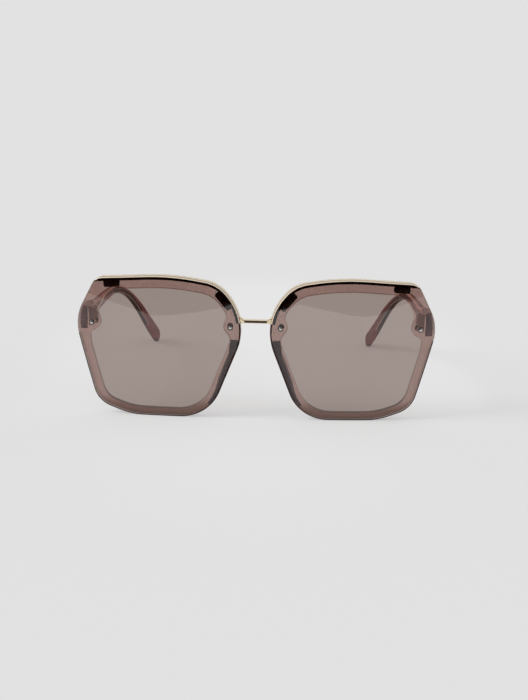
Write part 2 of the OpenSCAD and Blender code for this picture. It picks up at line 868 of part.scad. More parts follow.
hinge_rivets_temple(-1);  // hinge_rivets_temple_left
hinge_rivets_temple(1);  // hinge_rivets_temple_right
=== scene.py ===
"""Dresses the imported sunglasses: tinted lens plates on crystal plastic rims, gilt brow bars, mauve temples.

All geometry is in metres and in the row frame: X left to right, the front faces -Y, Z = 0 is the table.
"""

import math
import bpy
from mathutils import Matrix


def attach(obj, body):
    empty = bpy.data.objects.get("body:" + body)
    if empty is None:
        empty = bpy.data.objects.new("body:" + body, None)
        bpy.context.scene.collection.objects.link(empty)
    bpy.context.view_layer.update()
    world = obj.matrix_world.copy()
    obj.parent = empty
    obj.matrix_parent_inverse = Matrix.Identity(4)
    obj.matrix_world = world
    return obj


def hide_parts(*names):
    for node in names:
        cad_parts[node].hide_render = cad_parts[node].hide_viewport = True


bl_info = {
    "name": "Tinted Sunglasses",
    "version": (1, 0, 0),
    "blender": (4, 5, 0),
    "location": "3D View > Sidebar > Sunglasses",
    "description": "Builds the pieces, finishes and studio of a pair of tinted sunglasses",
    "category": "Object",
}

import bmesh
import bpy
import numpy as np
from bpy.props import FloatProperty, FloatVectorProperty, PointerProperty
from bpy.types import Operator, Panel, PropertyGroup
from mathutils import Matrix, Vector

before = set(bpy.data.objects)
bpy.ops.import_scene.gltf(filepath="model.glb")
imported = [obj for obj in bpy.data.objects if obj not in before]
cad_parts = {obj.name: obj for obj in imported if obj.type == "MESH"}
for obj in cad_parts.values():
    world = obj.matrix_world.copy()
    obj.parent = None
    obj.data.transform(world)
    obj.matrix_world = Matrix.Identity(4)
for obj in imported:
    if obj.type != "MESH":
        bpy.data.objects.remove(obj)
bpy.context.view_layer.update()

MM = 0.001
SIDES = {"left": -1, "right": 1}

# Corners of the lens outline from the upper outer one by way of the nose, as shares of width and height
CORNER_X_SHARES = (0.888, 0.42, 0.14, -0.05, 0.19, 0.673, 0.881, 1.017)
CORNER_Z_SHARES = (0.973, 1.01, 0.955, 0.7, 0.0, 0.0, 0.083, 0.681)
# Radii of the outline's and of the rim opening's corners, as shares of the lens height
CORNER_RADIUS_SHARES = (0.09, 1.6, 0.25, 0.38, 0.3, 0.5, 0.18, 0.31)
OPENING_RADIUS_SHARES = (0.14, 1.5, 0.2, 0.3, 0.25, 0.5, 0.14, 0.3)
CORNER_STEPS = 24

# Lens surface: share of the width at which the dome is centred
DOME_CENTRE_SHARE = 0.49
# Air between pieces that lie on each other, so that no two faces share a surface
SEAT_GAP = 0.03 * MM
# Distance from the lenses' outer sides in to the end blocks' outer sides
OUTER_EASE = 0.3 * MM
# End block: distance inside the lens outline, depth to which it keeps that, its rings and front bevel
BLOCK_EASE = 0.15 * MM
BLOCK_FREE_Y = 9.5 * MM
BLOCK_RINGS = 8
BLOCK_BEVEL = 0.35 * MM
# Rounded end of a temple tip: angle of its arc in degrees and share by which it thins
TIP_CAP_ANGLE = 84
TIP_THINNING = 0.8
# Nose pad: width of its root along its length, as shares of the root width
PAD_ROOT_PLACES = (0.0, 0.12, 0.25, 0.4, 0.65, 0.87, 1.0)
PAD_ROOT_SHARES = (1.0, 0.9, 0.58, 0.58, 0.5, 0.3, 0.14)
# Dark card: its distance in front of the middle, and points of its lower edge in millimetres
CARD_Y = -0.27
CARD_EDGE = (
    (-1600, 60), (-260, 55), (-179, 39), (-140, 30), (-103, 21), (-69, 24), (-45, 28), (-9, 35),
    (9, 42), (45, 35), (80, 28), (103, 26), (118, 29), (150, 40), (240, 70), (1600, 90),
)
# Painted pool of light on the floor: place of its middle and half its width and length
POOL_Y = 0.05
POOL_WIDE = 0.14
POOL_LONG = 0.26
# Temple section: points round it, height at the end of the front taper and where the taper ends
TEMPLE_SIDES = 32
FRONT_TAPER_SHARE = 1.35
TAPER_END_SHARE = 0.52
# How square a section is, from 2 for an ellipse up: temple, tip's end, end block's front, core wire
TEMPLE_POWER = 3.2
TIP_POWER = 2.2
BLOCK_FRONT_POWER = 14
CORE_POWER = 2.6
# Fitted camera: its sensor in millimetres, and focal length and picture height in pixels
SENSOR = 36.0
FOCAL_PIXELS = 1030.0
PICTURE_HEIGHT = 700
# Key lamp: height, direction and apparent size in degrees
KEY_ELEVATION = 38
KEY_AZIMUTH = 14
KEY_SPREAD = 28
WHITE = (1.0, 1.0, 1.0)


def length(name, description, default):
    """A size in metres, given in millimetres."""
    return FloatProperty(
        name=name, description=description, default=default * MM, min=0.0, precision=5, unit="LENGTH"
    )


def angle(name, description, degrees):
    """An angle, given in degrees."""
    turn = math.radians(degrees)
    return FloatProperty(
        name=name, description=description, default=turn, subtype="ANGLE", unit="ROTATION"
    )


def number(name, description, default, low, high):
    """A plain number between two bounds."""
    return FloatProperty(name=name, description=description, default=default, min=low, max=high)


def share(name, description, default):
    """A plain share from 0 to 1."""
    return FloatProperty(
        name=name, description=description, default=default, min=0.0, max=1.0, subtype="FACTOR"
    )


def colour(name, description, default):
    """A linear colour without alpha."""
    return FloatVectorProperty(
        name=name, description=description, default=default, size=3, min=0.0, max=1.0, subtype="COLOR"
    )


class LensSizes(PropertyGroup):
    """Sizes of the two lens plates."""

    width: length("Width", "Width of one lens plate", 67)
    height: length("Height", "Height of a lens plate", 58.4)
    thick: length("Thickness", "Thickness of a lens plate", 1.8)
    gap: length("Gap", "Gap between the two plates at the bridge", 12.4)
    dome_r: length("Dome radius", "Radius of the domed front", 220)
    wrap: angle("Wrap", "Angle by which each half turns back from the bridge", 4)
    polish: length("Edge round", "Rounding of the polished edge", 0.34)


class RimSizes(PropertyGroup):
    """Sizes of the backing rims and their end blocks."""

    thick: length("Thickness", "Depth of the rim behind the lens", 2.4)
    top: length("Top width", "Face width at the top", 5.2)
    slope: length("Slope width", "Face width along the slope to the bridge", 5.1)
    nose: length("Nose width", "Face width beside the nose", 4.1)
    bottom: length("Bottom width", "Face width at the bottom", 3)
    temple: length("Temple width", "Face width at the temples", 3.6)
    corner: length("Corner width", "Face width at the upper outer corner", 6.8)
    nose_lobe: length("Nose lobe", "Radius of the lobe round the rivet at the nose", 3)
    temple_lobe: length("Temple lobe", "Radius of the lobe round the rivet at the temple", 3.3)
    lobe_blend: length("Lobe blend", "Reach of the hollow that joins a lobe to the rim", 3.2)
    edge: length("Edge round", "Rounding of the rim's edges", 0.3)


class BarSizes(PropertyGroup):
    """Sizes of the brow bars, the bridge bar and the lugs."""

    brow_t: length("Brow thickness", "Thickness of a brow bar", 1.8)
    gilt_band: length("Gilt band", "Height of the gilt band on a brow bar's front face", 0.7)
    edge: length("Edge round", "Rounding of the bars' and lugs' edges", 0.15)
    brow_depth: length("Brow depth", "Depth of a brow bar behind the lens", 3)
    brow_end_inset: length("Brow end inset", "Distance from the lens's outer side to the bar's end", 9)
    bridge_t: length("Bridge height", "Height of the bridge bar", 1.3)
    bridge_depth: length("Bridge depth", "Depth of the bridge bar", 2.8)
    bridge_flare: length("Bridge flare", "Height by which an end of the bridge bar flares", 1.2)
    flare_len: length("Flare length", "Length of the flare at an end of the bridge bar", 1.6)
    bridge_drop: length("Bridge drop", "Drop of the bridge bar below the brow bars' end", 1)
    bridge_dark: length("Dark length", "Half the length of the bridge bar's dark front", 4.6)
    bridge_z_share: share("Bridge height share", "Height of the bridge as a share of the lens height", 0.7)
    lug_t: length("Lug thickness", "Thickness of a lug", 0.8)
    lug_drop: length("Lug drop", "Drop of a lug below its brow bar", 2.5)
    lug_r: length("Lug corner", "Radius of a lug's lower corners", 0.9)
    outer_lug_w: length("Outer lug", "Length of the lug near the temple", 6.8)
    inner_lug_w: length("Inner lug", "Length of the lug on the slope", 8.6)
    outer_lug_inset: length("Outer lug inset", "Distance from the lens's outer side to the outer lug", 10.4)
    inner_lug_share: share("Inner lug place", "Place of the inner lug along the slope", 0.34)


class FastenerSizes(PropertyGroup):
    """Sizes of the lens rivets."""

    z_share: share("Rivet height share", "Height of the rivets as a share of the lens height", 0.66)
    nose_inset: length("Nose inset", "Distance from the lens's nose side to its rivet", 4.1)
    temple_inset: length("Temple inset", "Distance from the lens's outer side to its rivet", 6.2)
    head_d: length("Head diameter", "Diameter of a rivet's domed head", 2.4)
    head_h: length("Head height", "Height of a rivet's domed head", 0.6)
    shank_d: length("Shank diameter", "Diameter of a rivet's shank", 1.2)
    cap_h: length("Cap height", "Height of a rivet's rear cap", 0.5)


class PadSizes(PropertyGroup):
    """Sizes of the nose pads."""

    reach: length("Reach", "Reach of a pad behind the rim", 5.6)
    ridge_w: length("Ridge width", "Width of a pad's rounded ridge", 2)
    flare: length("Flare", "Sideways flare of the ridge away from the nose", 0.3)
    edge: length("Edge", "Distance from the rim's nose side to the pad", 0.06)
    root_w: length("Root width", "Width of a pad's root at its top", 3.9)
    top_share: share("Top share", "Height of the pad's top as a share of the lens height", 0.545)
    bottom_share: share("Bottom share", "Height of the pad's end as a share of the lens height", 0.075)
    end_share: share("End share", "Reach at the pad's ends as a share of the full reach", 0.35)
    skew: share("Skew", "Below 1, the fullest place lies above the middle", 0.8)


class TempleSizes(PropertyGroup):
    """Sizes of the temples, the end blocks and the hinges between them."""

    block_h: length("Block height", "Height of the end block and of the temple's front end", 10)
    block_t: length("Block thickness", "Thickness of the end block", 3.9)
    joint_depth: length("Joint depth", "Depth from the bridge plane to the joint", 19)
    depth: length("Temple depth", "Depth from the bridge plane to a temple tip", 136)
    shaft_h: length("Shaft height", "Height of the slim shaft", 3.5)
    shaft_t: length("Shaft thickness", "Thickness of the slim shaft", 2.8)
    tip_h: length("Tip height", "Height of the widened tip", 8.4)
    tip_t: length("Tip thickness", "Thickness of the tip", 3.2)
    tip_round: length("Tip rounding", "Rounding of the tip's end", 3.2)
    tip_inset: length("Tip inset", "Distance by which a tip lies inboard", 15)
    bow_power: number("Bow power", "The higher, the more of the bow lies near the tip", 2.4, 1.0, 4.0)
    bend: angle("Bend", "Angle by which the tip bends down", 45)
    bend_r: length("Bend radius", "Radius of the bend", 75)
    front_taper: length("Front taper", "Length of the taper behind the hinge", 20)
    widen_share: share("Widening", "Share of the way from shaft to end where the tip widens", 0.36)
    core_w: length("Core width", "Width of the flat core wire", 2.2)
    core_t: length("Core thickness", "Thickness of the flat core wire", 1)
    core_start: length("Core start", "Distance from the joint to the core wire", 14)
    core_end: length("Core end", "Distance from the core wire to the tip's end", 26)
    leaf_len: length("Leaf length", "Length of the hinge leaf on the temple", 8)
    hinge_gap: length("Hinge gap", "Gap between temple and end block", 0.08)
    hinge_z_share: share("Hinge height share", "Height of the hinge as a share of the lens height", 0.675)


class Finishes(PropertyGroup):
    """Colours of the finishes."""

    lens: colour("Lens tint", "Light that one lens plate lets through", (0.426, 0.344, 0.312))
    # Colours of the painted highlight on the lens plates' upper edges
    lens_edge_highlight: colour("Lens edge", "Colour of a lens plate's polished edge", (0.6, 0.47, 0.35))
    lens_bevel_highlight: colour("Lens bevel", "Colour of the bevel along that edge", (0.86, 0.73, 0.58))
    rim: colour("Rim tint", "Light that the rim lets through", (0.96, 0.74, 0.7))
    block: colour("Block tint", "Light that the thick end block lets through", (0.8, 0.56, 0.54))
    temple: colour("Temple tint", "Light that a temple lets through", (0.78, 0.52, 0.49))
    pad: colour("Pad colour", "Body colour of the nose pads", (0.1, 0.022, 0.022))
    gold: colour("Gold", "Colour of the gilt metal", (0.93, 0.78, 0.53))
    leaf: colour("Hinge leaves", "Colour of the satin rose gilt hinge leaves", (0.9, 0.7, 0.62))
    enamel: colour("Enamel", "Colour of the dark enamel on the bars' front faces", (0.03, 0.011, 0.007))
    steel: colour("Steel", "Colour of the polished steel", (0.72, 0.71, 0.69))
    # The rivet ring colour is painted shade round the recess of each head
    ring: colour("Rivet ring", "Colour of the dark ring on a rivet's head", (0.16, 0.13, 0.12))
    core_front: colour("Core front", "Colour of the core wire near the hinge", (0.5, 0.36, 0.33))
    core: colour("Core wire", "Colour of the dark core wire", (0.012, 0.009, 0.008))


class Studio(PropertyGroup):
    """The floor, the light and the camera."""

    floor: share("Floor", "Brightness of the floor and the backdrop", 0.76)
    # The pool is painted light: the floor glows a little brighter right round the object
    pool: share("Pool", "Share by which the floor is brighter right round the object", 0.1)
    shadow_lift: share("Shadow lift", "Share of the shadows that soft fill light takes away", 0.5)
    sky: number("Sky", "Strength of the soft light from all round", 0.72, 0.0, 2.0)
    key: share("Key", "Share of the light that comes from the soft key lamp on the left", 0.28)
    camera_distance: length("Camera distance", "Distance from the camera to the bridge plane", 400)
    camera_height: length("Camera height", "Height of the camera", 132.87)
    camera_side: length("Camera side", "Distance of the camera to the right of the middle", 11.91)
    camera_yaw: angle("Camera yaw", "Angle by which the camera turns to the left", 1.175)
    camera_pitch: angle("Camera pitch", "Angle by which the camera looks down", 14.38)
    camera_roll: angle("Camera roll", "Angle by which the camera leans", 1.12)


class Sunglasses(PropertyGroup):
    """All sizes, finishes and studio settings."""

    lens: PointerProperty(type=LensSizes)
    rim: PointerProperty(type=RimSizes)
    bars: PointerProperty(type=BarSizes)
    rivets: PointerProperty(type=FastenerSizes)
    pads: PointerProperty(type=PadSizes)
    temples: PointerProperty(type=TempleSizes)
    finish: PointerProperty(type=Finishes)
    studio: PointerProperty(type=Studio)


def settings():
    """The scene's sunglasses settings."""
    return bpy.context.scene.sunglasses


# Shape of the front


def dome_centre():
    """X and Z of the lens dome's middle in one half's own frame."""
    lens = settings().lens
    return lens.gap / 2 + DOME_CENTRE_SHARE * lens.width, lens.height / 2


def lens_corners():
    """Corners of the lens outline, [x, z], anticlockwise on the right lens."""
    lens = settings().lens
    return np.array([
        (lens.gap / 2 + x * lens.width, z * lens.height)
        for x, z in zip(CORNER_X_SHARES, CORNER_Z_SHARES)
    ])


def unit(v):
    """v at length 1."""
    return v / np.linalg.norm(v)


def side_heading(points, i):
    """Heading of the outward normal of the side that leaves corner i."""
    n = len(points)
    d = unit(points[(i + 1) % n] - points[i % n])
    return math.atan2(-d[0], d[1])


def wrapped(a):
    """An angle brought into half a turn either way."""
    return a - 2 * math.pi * math.floor((a + math.pi) / (2 * math.pi))


def arc_reach(points, i, r):
    """Length of side i that the arc at its first corner takes."""
    turn = wrapped(side_heading(points, i) - side_heading(points, i - 1))
    return r * math.tan(abs(turn) / 2)


def rounded(points, radii, inset=0.0, steps=CORNER_STEPS):
    """The outline with its corners rounded and drawn in by inset."""
    n = len(points)
    fit = min(
        np.linalg.norm(points[(i + 1) % n] - points[i])
        / (arc_reach(points, i, radii[i]) + arc_reach(points, (i + 1) % n, radii[(i + 1) % n]))
        for i in range(n)
    )
    outline = []
    for i in range(n):
        r = radii[i] * min(1.0, fit)
        a = unit(points[i - 1] - points[i])
        b = unit(points[(i + 1) % n] - points[i])
        half = math.acos(a @ b) / 2
        centre = points[i] + unit(a + b) * r / math.sin(half)
        start = side_heading(points, i - 1)
        turn = wrapped(side_heading(points, i) - start)
        for k in range(steps + 1):
            heading = start + turn * k / steps
            outline.append(centre + (r - inset) * np.array([math.cos(heading), math.sin(heading)]))
    return np.array(outline)


def line_meet(a, u, b, v):
    """Where the line through a along u meets the line through b along v."""
    w = b - a
    return a + u * (w[0] * v[1] - w[1] * v[0]) / (u[0] * v[1] - u[1] * v[0])


def drawn_in(points, widths):
    """Corners of an outline whose side i is moved inward by widths[i]."""
    moved = []
    for i in range(len(points)):
        j = i - 1
        u = unit(points[i] - points[j])
        v = unit(points[(i + 1) % len(points)] - points[i])
        before = side_heading(points, j)
        after = side_heading(points, i)
        a = points[i] - widths[j] * np.array([math.cos(before), math.sin(before)])
        b = points[i] - widths[i] * np.array([math.cos(after), math.sin(after)])
        moved.append(line_meet(a, u, b, v))
    return np.array(moved)


def lens_outline(inset=0.0):
    """The lens outline, drawn in by inset."""
    height = settings().lens.height
    return rounded(lens_corners(), [r * height for r in CORNER_RADIUS_SHARES], inset)


def depth_inside(outline, points):
    """Distance from each point to a convex outline's nearest side, positive inside."""
    following = np.roll(outline, -1, 0)
    along = following - outline
    reach = np.linalg.norm(along, axis=1)
    kept = reach > 1e-9
    normal = np.stack([along[kept, 1], -along[kept, 0]], 1) / reach[kept, None]
    offset = (normal * outline[kept]).sum(1)
    return (offset[None, :] - points @ normal.T).min(1)


def rays(count):
    """Unit vectors in X and Z, evenly turned round the dome's middle."""
    turns = 2 * math.pi * np.arange(count) / count
    return np.stack([np.cos(turns), np.sin(turns)], 1)


def way_along(curve):
    """Distance along a curve from its start to each of its points."""
    return np.concatenate([[0.0], np.cumsum(np.linalg.norm(np.diff(curve, axis=0), axis=1))])


def point_at(place, way, curve):
    """The point of a curve at a place along its way."""
    return np.array([np.interp(place, way, curve[:, i]) for i in (0, 1)])


def first_edge(depth, directions):
    """Where each ray from the dome's middle first leaves the shape that depth() describes."""
    centre = np.array(dome_centre())
    low = np.zeros(len(directions))
    high = np.zeros(len(directions))
    open_ray = np.ones(len(directions), bool)
    step = 0.3 * MM
    while open_ray.any():
        ahead = np.where(open_ray, high + step, high)
        inside = depth(centre + directions * ahead[:, None]) > 0
        low = np.where(open_ray & inside, ahead, low)
        high = ahead
        open_ray &= inside
    for _ in range(24):
        middle = (low + high) / 2
        inside = depth(centre + directions * middle[:, None]) > 0
        low = np.where(inside, middle, low)
        high = np.where(inside, high, middle)
    return centre + directions * low[:, None]


def rivet_spots():
    """X and Z of the nose rivet and of the temple rivet."""
    s = settings()
    z = s.rivets.z_share * s.lens.height
    return (
        np.array([s.lens.gap / 2 + s.rivets.nose_inset, z]),
        np.array([s.lens.gap / 2 + s.lens.width - s.rivets.temple_inset, z]),
    )


def soft_min(a, b, reach):
    """The lesser of two distances, with the corner between them filled in."""
    h = np.clip(0.5 + 0.5 * (b - a) / reach, 0, 1)
    return b + (a - b) * h - reach * h * (1 - h)


def opening_depth():
    """A function that says how deep a point lies inside the rim's opening."""
    s = settings()
    rim = s.rim
    widths = [rim.top, rim.top, rim.slope, rim.nose, rim.bottom, rim.bottom, rim.temple, rim.corner]
    outline = rounded(
        drawn_in(lens_corners(), widths), [r * s.lens.height for r in OPENING_RADIUS_SHARES]
    )
    lobes = list(zip(rivet_spots(), (rim.nose_lobe, rim.temple_lobe)))

    def depth(points):
        """Depth of each point inside the opening, negative outside it."""
        d = depth_inside(outline, points)
        for spot, radius in lobes:
            d = soft_min(d, np.linalg.norm(points - spot, axis=1) - radius, rim.lobe_blend)
        return d

    return depth


def middle_depth():
    """Y of the whole part's middle, measured from the bridge plane."""
    s = settings()
    front = dome_centre()[0] * math.sin(s.lens.wrap) - s.lens.dome_r * (1 - math.cos(s.lens.wrap))
    return (s.temples.depth + front) / 2


def beside(side, x, y, z):
    """A point given in the un-turned frame of one side, in the row frame."""
    return Vector((side * x, y - middle_depth(), z))


def half(side, x, y, z):
    """A point given in the turned frame of one half of the front, in the row frame."""
    wrap = settings().lens.wrap
    return beside(
        side, x * math.cos(wrap) - y * math.sin(wrap), x * math.sin(wrap) + y * math.cos(wrap), z
    )


def on_level(side, xz, level):
    """The point over (x, z) at a level behind the domed front."""
    lens = settings().lens
    cx, cz = dome_centre()
    drop = math.sqrt((lens.dome_r - level) ** 2 - (xz[0] - cx) ** 2 - (xz[1] - cz) ** 2)
    return half(side, xz[0], lens.dome_r - drop, xz[1])


def point_normal(side, xz, level=0.0):
    """The point on a level behind the domed front, and the direction that points out to the front there."""
    lens = settings().lens
    cx, cz = dome_centre()
    rise = Vector((xz[0] - cx, 0.0, xz[1] - cz))
    rise.y = -math.sqrt((lens.dome_r - level) ** 2 - rise.x**2 - rise.z**2)
    here = half(side, cx + rise.x, lens.dome_r + rise.y, cz + rise.z)
    further = rise * (1 + MM / rise.length)
    out = half(side, cx + further.x, lens.dome_r + further.y, cz + further.z) - here
    return here, out.normalized()


def rim_back_y(x, z, level):
    """Y, in the un-turned frame, at which (x, z) meets a level behind the domed front."""
    lens = settings().lens
    cx, cz = dome_centre()
    y = level
    for _ in range(12):
        own_x = x * math.cos(lens.wrap) + y * math.sin(lens.wrap)
        own_y = lens.dome_r - math.sqrt((lens.dome_r - level) ** 2 - (own_x - cx) ** 2 - (z - cz) ** 2)
        y = (own_y + x * math.sin(lens.wrap)) / math.cos(lens.wrap)
    return y


def eased(s, a, b):
    """Eases from 0 at a to 1 at b."""
    t = min(1.0, max(0.0, (s - a) / (b - a)))
    return t * t * (3 - 2 * t)


def block_outer_x():
    """X of the outer side of the end block at the joint."""
    lens = settings().lens
    return (lens.gap / 2 + lens.width) * math.cos(lens.wrap) - OUTER_EASE


class TemplePath:
    """Centre line of a temple, with its section along it: straight shaft, long bend, straight tip."""

    def __init__(self):
        s = settings()
        t = s.temples
        self.sizes = t
        self.start = t.joint_depth + t.hinge_gap
        self.hinge_z = t.hinge_z_share * s.lens.height
        corner = t.tip_h / 2 - t.tip_round
        rounding = t.tip_round * (1 - math.sin(t.bend)) + corner * math.cos(t.bend)
        fall = self.hinge_z - rounding - t.bend_r * (1 - math.cos(t.bend))
        tip = fall / math.sin(t.bend)
        end = t.tip_round * (1 - math.cos(t.bend)) + corner * math.sin(t.bend)
        run = t.depth - self.start - end - t.bend_r * math.sin(t.bend)
        self.shaft = run - tip * math.cos(t.bend)
        self.bent = t.bend_r * t.bend
        self.length = self.shaft + self.bent + tip
        self.middle_x = block_outer_x() - t.block_t / 2

    def slope(self, s):
        """Angle by which the temple points down at distance s."""
        return self.sizes.bend * min(1.0, max(0.0, (s - self.shaft) / self.bent))

    def centre(self, s):
        """X, y and z of the centre line at distance s, in the un-turned frame."""
        t = self.sizes
        slope = self.slope(s)
        tail = max(0.0, s - self.shaft - self.bent)
        x = self.middle_x - t.tip_inset * (s / self.length) ** t.bow_power
        y = self.start + min(s, self.shaft) + t.bend_r * math.sin(slope) + tail * math.cos(slope)
        z = self.hinge_z - t.bend_r * (1 - math.cos(slope)) - tail * math.sin(slope)
        return x, y, z

    def widened(self, s):
        """Share by which the section has reached the tip's size."""
        begin = self.shaft + self.sizes.widen_share * (self.length - self.shaft)
        return eased(s, begin, self.length - self.sizes.tip_round / 2)

    def height(self, s):
        """Height of the section at distance s."""
        t = self.sizes
        taper_end = TAPER_END_SHARE * self.length
        front = FRONT_TAPER_SHARE * t.shaft_h
        return (
            t.block_h
            + (front - t.block_h) * eased(s, 0, t.front_taper)
            + (t.shaft_h - front) * eased(s, t.front_taper, taper_end)
            + (t.tip_h - t.shaft_h) * self.widened(s)
        )

    def thickness(self, s):
        """Thickness of the section at distance s."""
        t = self.sizes
        return (
            t.block_t
            + (t.shaft_t - t.block_t) * eased(s, t.leaf_len + t.front_taper / 4, self.shaft)
            + (t.tip_t - t.shaft_t) * self.widened(s)
        )

    def ring(self, s, wide, high, power=TEMPLE_POWER, sides=TEMPLE_SIDES):
        """Section at distance s as (x, y, z) points in the un-turned frame, with rounded corners."""
        x, y, z = self.centre(s)
        slope = self.slope(s)
        points = []
        for k in range(sides):
            a = 2 * math.pi * (k + 0.5) / sides
            u = math.copysign(abs(math.cos(a)) ** (2 / power), math.cos(a)) * wide / 2
            v = math.copysign(abs(math.sin(a)) ** (2 / power), math.sin(a)) * high / 2
            points.append((x + u, y + v * math.sin(slope), z + v * math.cos(slope)))
        return points


# Mesh making


def cover(bm, rows, ring=False, paint=None):
    """Adds a closed tube over rows of points. ring joins the last row to the first.

    paint is a function of (row, point) that gives the number of a face's material. The two end
    faces have the rows 0 and -1 and no point.
    """
    grid = [[bm.verts.new(p) for p in row] for row in rows]
    n_rows = len(rows)
    n_points = len(rows[0])
    for i in range(n_rows if ring else n_rows - 1):
        for k in range(n_points):
            a = grid[i]
            b = grid[(i + 1) % n_rows]
            j = (k + 1) % n_points
            face = bm.faces.new((a[k], a[j], b[j], b[k]))
            if paint:
                face.material_index = paint(i, k)
    if not ring:
        for i in (0, -1):
            end = bm.faces.new(grid[i])
            if paint:
                end.material_index = paint(i, None)


def skin(name, *tubes, ring=False, paint=None, smooth_below=40):
    """A piece over one or more tubes of point rows."""
    mesh = bpy.data.meshes.new(name)
    bm = bmesh.new()
    for rows in tubes:
        cover(bm, rows, ring, paint)
    bmesh.ops.recalc_face_normals(bm, faces=bm.faces)
    for face in bm.faces:
        face.smooth = True
    bm.to_mesh(mesh)
    bm.free()
    mesh.set_sharp_from_angle(angle=math.radians(smooth_below))
    piece = bpy.data.objects.new(name, mesh)
    bpy.context.scene.collection.objects.link(piece)
    return piece


def settle(piece, body, slot, nodes, *finishes):
    """Gives a piece its finishes and its body, and hides the nodes that it stands for; slot is not used."""
    for name in finishes:
        piece.data.materials.append(finish(name))
    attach(piece, body)
    if nodes:
        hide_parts(*nodes)
    return piece


def lathe(profile, origin, axis, sides=36):
    """Rings round an axis, one for each (radius, distance along the axis) of the profile."""
    across = axis.orthogonal().normalized()
    other = axis.cross(across)
    turns = [2 * math.pi * k / sides for k in range(sides)]
    return [
        [origin + axis * h + (across * math.cos(a) + other * math.sin(a)) * r for a in turns]
        for r, h in profile
    ]


def repaint(node, material):
    """Gives a CAD node that keeps its shape a finished material."""
    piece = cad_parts[node]
    piece.data.materials.clear()
    piece.data.materials.append(material)
    return piece


# Material making


class Finish:
    """A node tree that is built up step by step."""

    def __init__(self, name):
        self.material = bpy.data.materials.new(name)
        self.material.use_nodes = True
        self.nodes = self.material.node_tree.nodes
        self.links = self.material.node_tree.links
        self.nodes.clear()
        self.output = self.nodes.new("ShaderNodeOutputMaterial")
        self.place = self.add("ShaderNodeTexCoord").outputs["Object"]

    def add(self, kind, **values):
        """A node whose inputs are set by name, or joined where the value is a socket."""
        node = self.nodes.new(kind)
        for key, value in values.items():
            socket = node.inputs[key.replace("_", " ")]
            self.feed(socket, value)
        return node

    def feed(self, socket, value):
        """Joins a socket to another one, or sets its value."""
        if isinstance(value, bpy.types.NodeSocket):
            self.links.new(value, socket)
        elif socket.type == "RGBA" and len(value) == 3:
            socket.default_value = (*value, 1.0)
        else:
            socket.default_value = value

    def math(self, operation, *values):
        """The output of a Math node."""
        node = self.nodes.new("ShaderNodeMath")
        node.operation = operation
        for socket, value in zip(node.inputs, values):
            self.feed(socket, value)
        return node.outputs[0]

    def noise(self, scale, detail=3.0, stretch=(1, 1, 1)):
        """A noise from 0 to 1, with the given number of features to a metre."""
        mapping = self.add("ShaderNodeMapping", Vector=self.place, Scale=stretch)
        texture = self.add(
            "ShaderNodeTexNoise", Vector=mapping.outputs[0], Scale=scale, Detail=detail
        )
        return texture.outputs[0]

    def ramp(self, value, start, full, low=0.0, high=1.0, kind="LINEAR"):
        """A number that goes from low to high as value goes from start to full."""
        node = self.add(
            "ShaderNodeMapRange", Value=value, From_Min=start, From_Max=full, To_Min=low, To_Max=high
        )
        node.interpolation_type = kind
        return node.outputs[0]

    def between(self, noise, low, high):
        """A number that goes from low to high over the middle of a noise's range."""
        return self.ramp(noise, 0.3, 0.7, low, high)

    def blend(self, factor, a, b, kind="MIX"):
        """A colour between a and b."""
        node = self.nodes.new("ShaderNodeMix")
        node.data_type = "RGBA"
        node.blend_type = kind
        self.feed(node.inputs[0], factor)
        self.feed(node.inputs[6], a)
        self.feed(node.inputs[7], b)
        return node.outputs[2]

    def times(self, a, b):
        """The product of two colours."""
        return self.blend(1.0, a, b, "MULTIPLY")

    def mix(self, factor, a, b):
        """A shader between a and b."""
        node = self.nodes.new("ShaderNodeMixShader")
        self.feed(node.inputs[0], factor)
        self.links.new(a.outputs[0], node.inputs[1])
        self.links.new(b.outputs[0], node.inputs[2])
        return node

    def facing(self):
        """0 where a surface is seen straight on, 1 at a grazing view."""
        return self.add("ShaderNodeLayerWeight", Blend=0.5).outputs["Facing"]

    def along(self, axis, start, full):
        """0 on one side of start, 1 beyond full, eased between them, along an axis in metres."""
        apart = self.add("ShaderNodeSeparateXYZ", Vector=self.place)
        return self.ramp(apart.outputs[axis], start, full, kind="SMOOTHSTEP")

    def mirror_share(self, straight, grazing=1.0):
        """Share of light that a clear surface mirrors straight on and at a grazing view."""
        rise = self.math("POWER", self.facing(), 5.0)
        return self.math("MULTIPLY_ADD", rise, grazing - straight, straight)

    def bump(self, height, distance, strength=0.3):
        """A normal that follows a height map."""
        node = self.add("ShaderNodeBump", Height=height, Strength=strength, Distance=distance)
        return node.outputs[0]

    def done(self, shader):
        """The finished material."""
        self.links.new(shader.outputs[0], self.output.inputs["Surface"])
        return self.material

    def solid(self, base, roughness, normal, **values):
        """The finished material of a piece that lets no light through."""
        shader = self.add(
            "ShaderNodeBsdfPrincipled", Base_Color=base, Roughness=roughness, Normal=normal, **values
        )
        return self.done(shader)


def per_surface(tint):
    """Tint of one surface of a plate whose two surfaces together give tint."""
    return tuple(c**0.5 for c in tint)


def scaled(tone, factor):
    """A colour made brighter or darker by a factor, at most 1."""
    return tuple(min(1.0, c * factor) for c in tone)


def lens_glass():
    """Polished tinted lens: clear, evenly tinted, with a faint unevenness in its gloss."""
    f = Finish("lens_tint")
    tint = per_surface(settings().finish.lens)
    tone = f.blend(f.noise(28.0, 2.0), scaled(tint, 0.988), scaled(tint, 1.012))
    clear = f.add("ShaderNodeBsdfTransparent", Color=tone)
    smear = f.noise(90.0, 4.0, stretch=(1, 1, 3))
    gloss = f.add(
        "ShaderNodeBsdfGlossy", Color=(0.92, 0.97, 1.0), Roughness=f.between(smear, 0.01, 0.035)
    )
    return f.done(f.mix(f.mirror_share(0.055), clear, gloss))


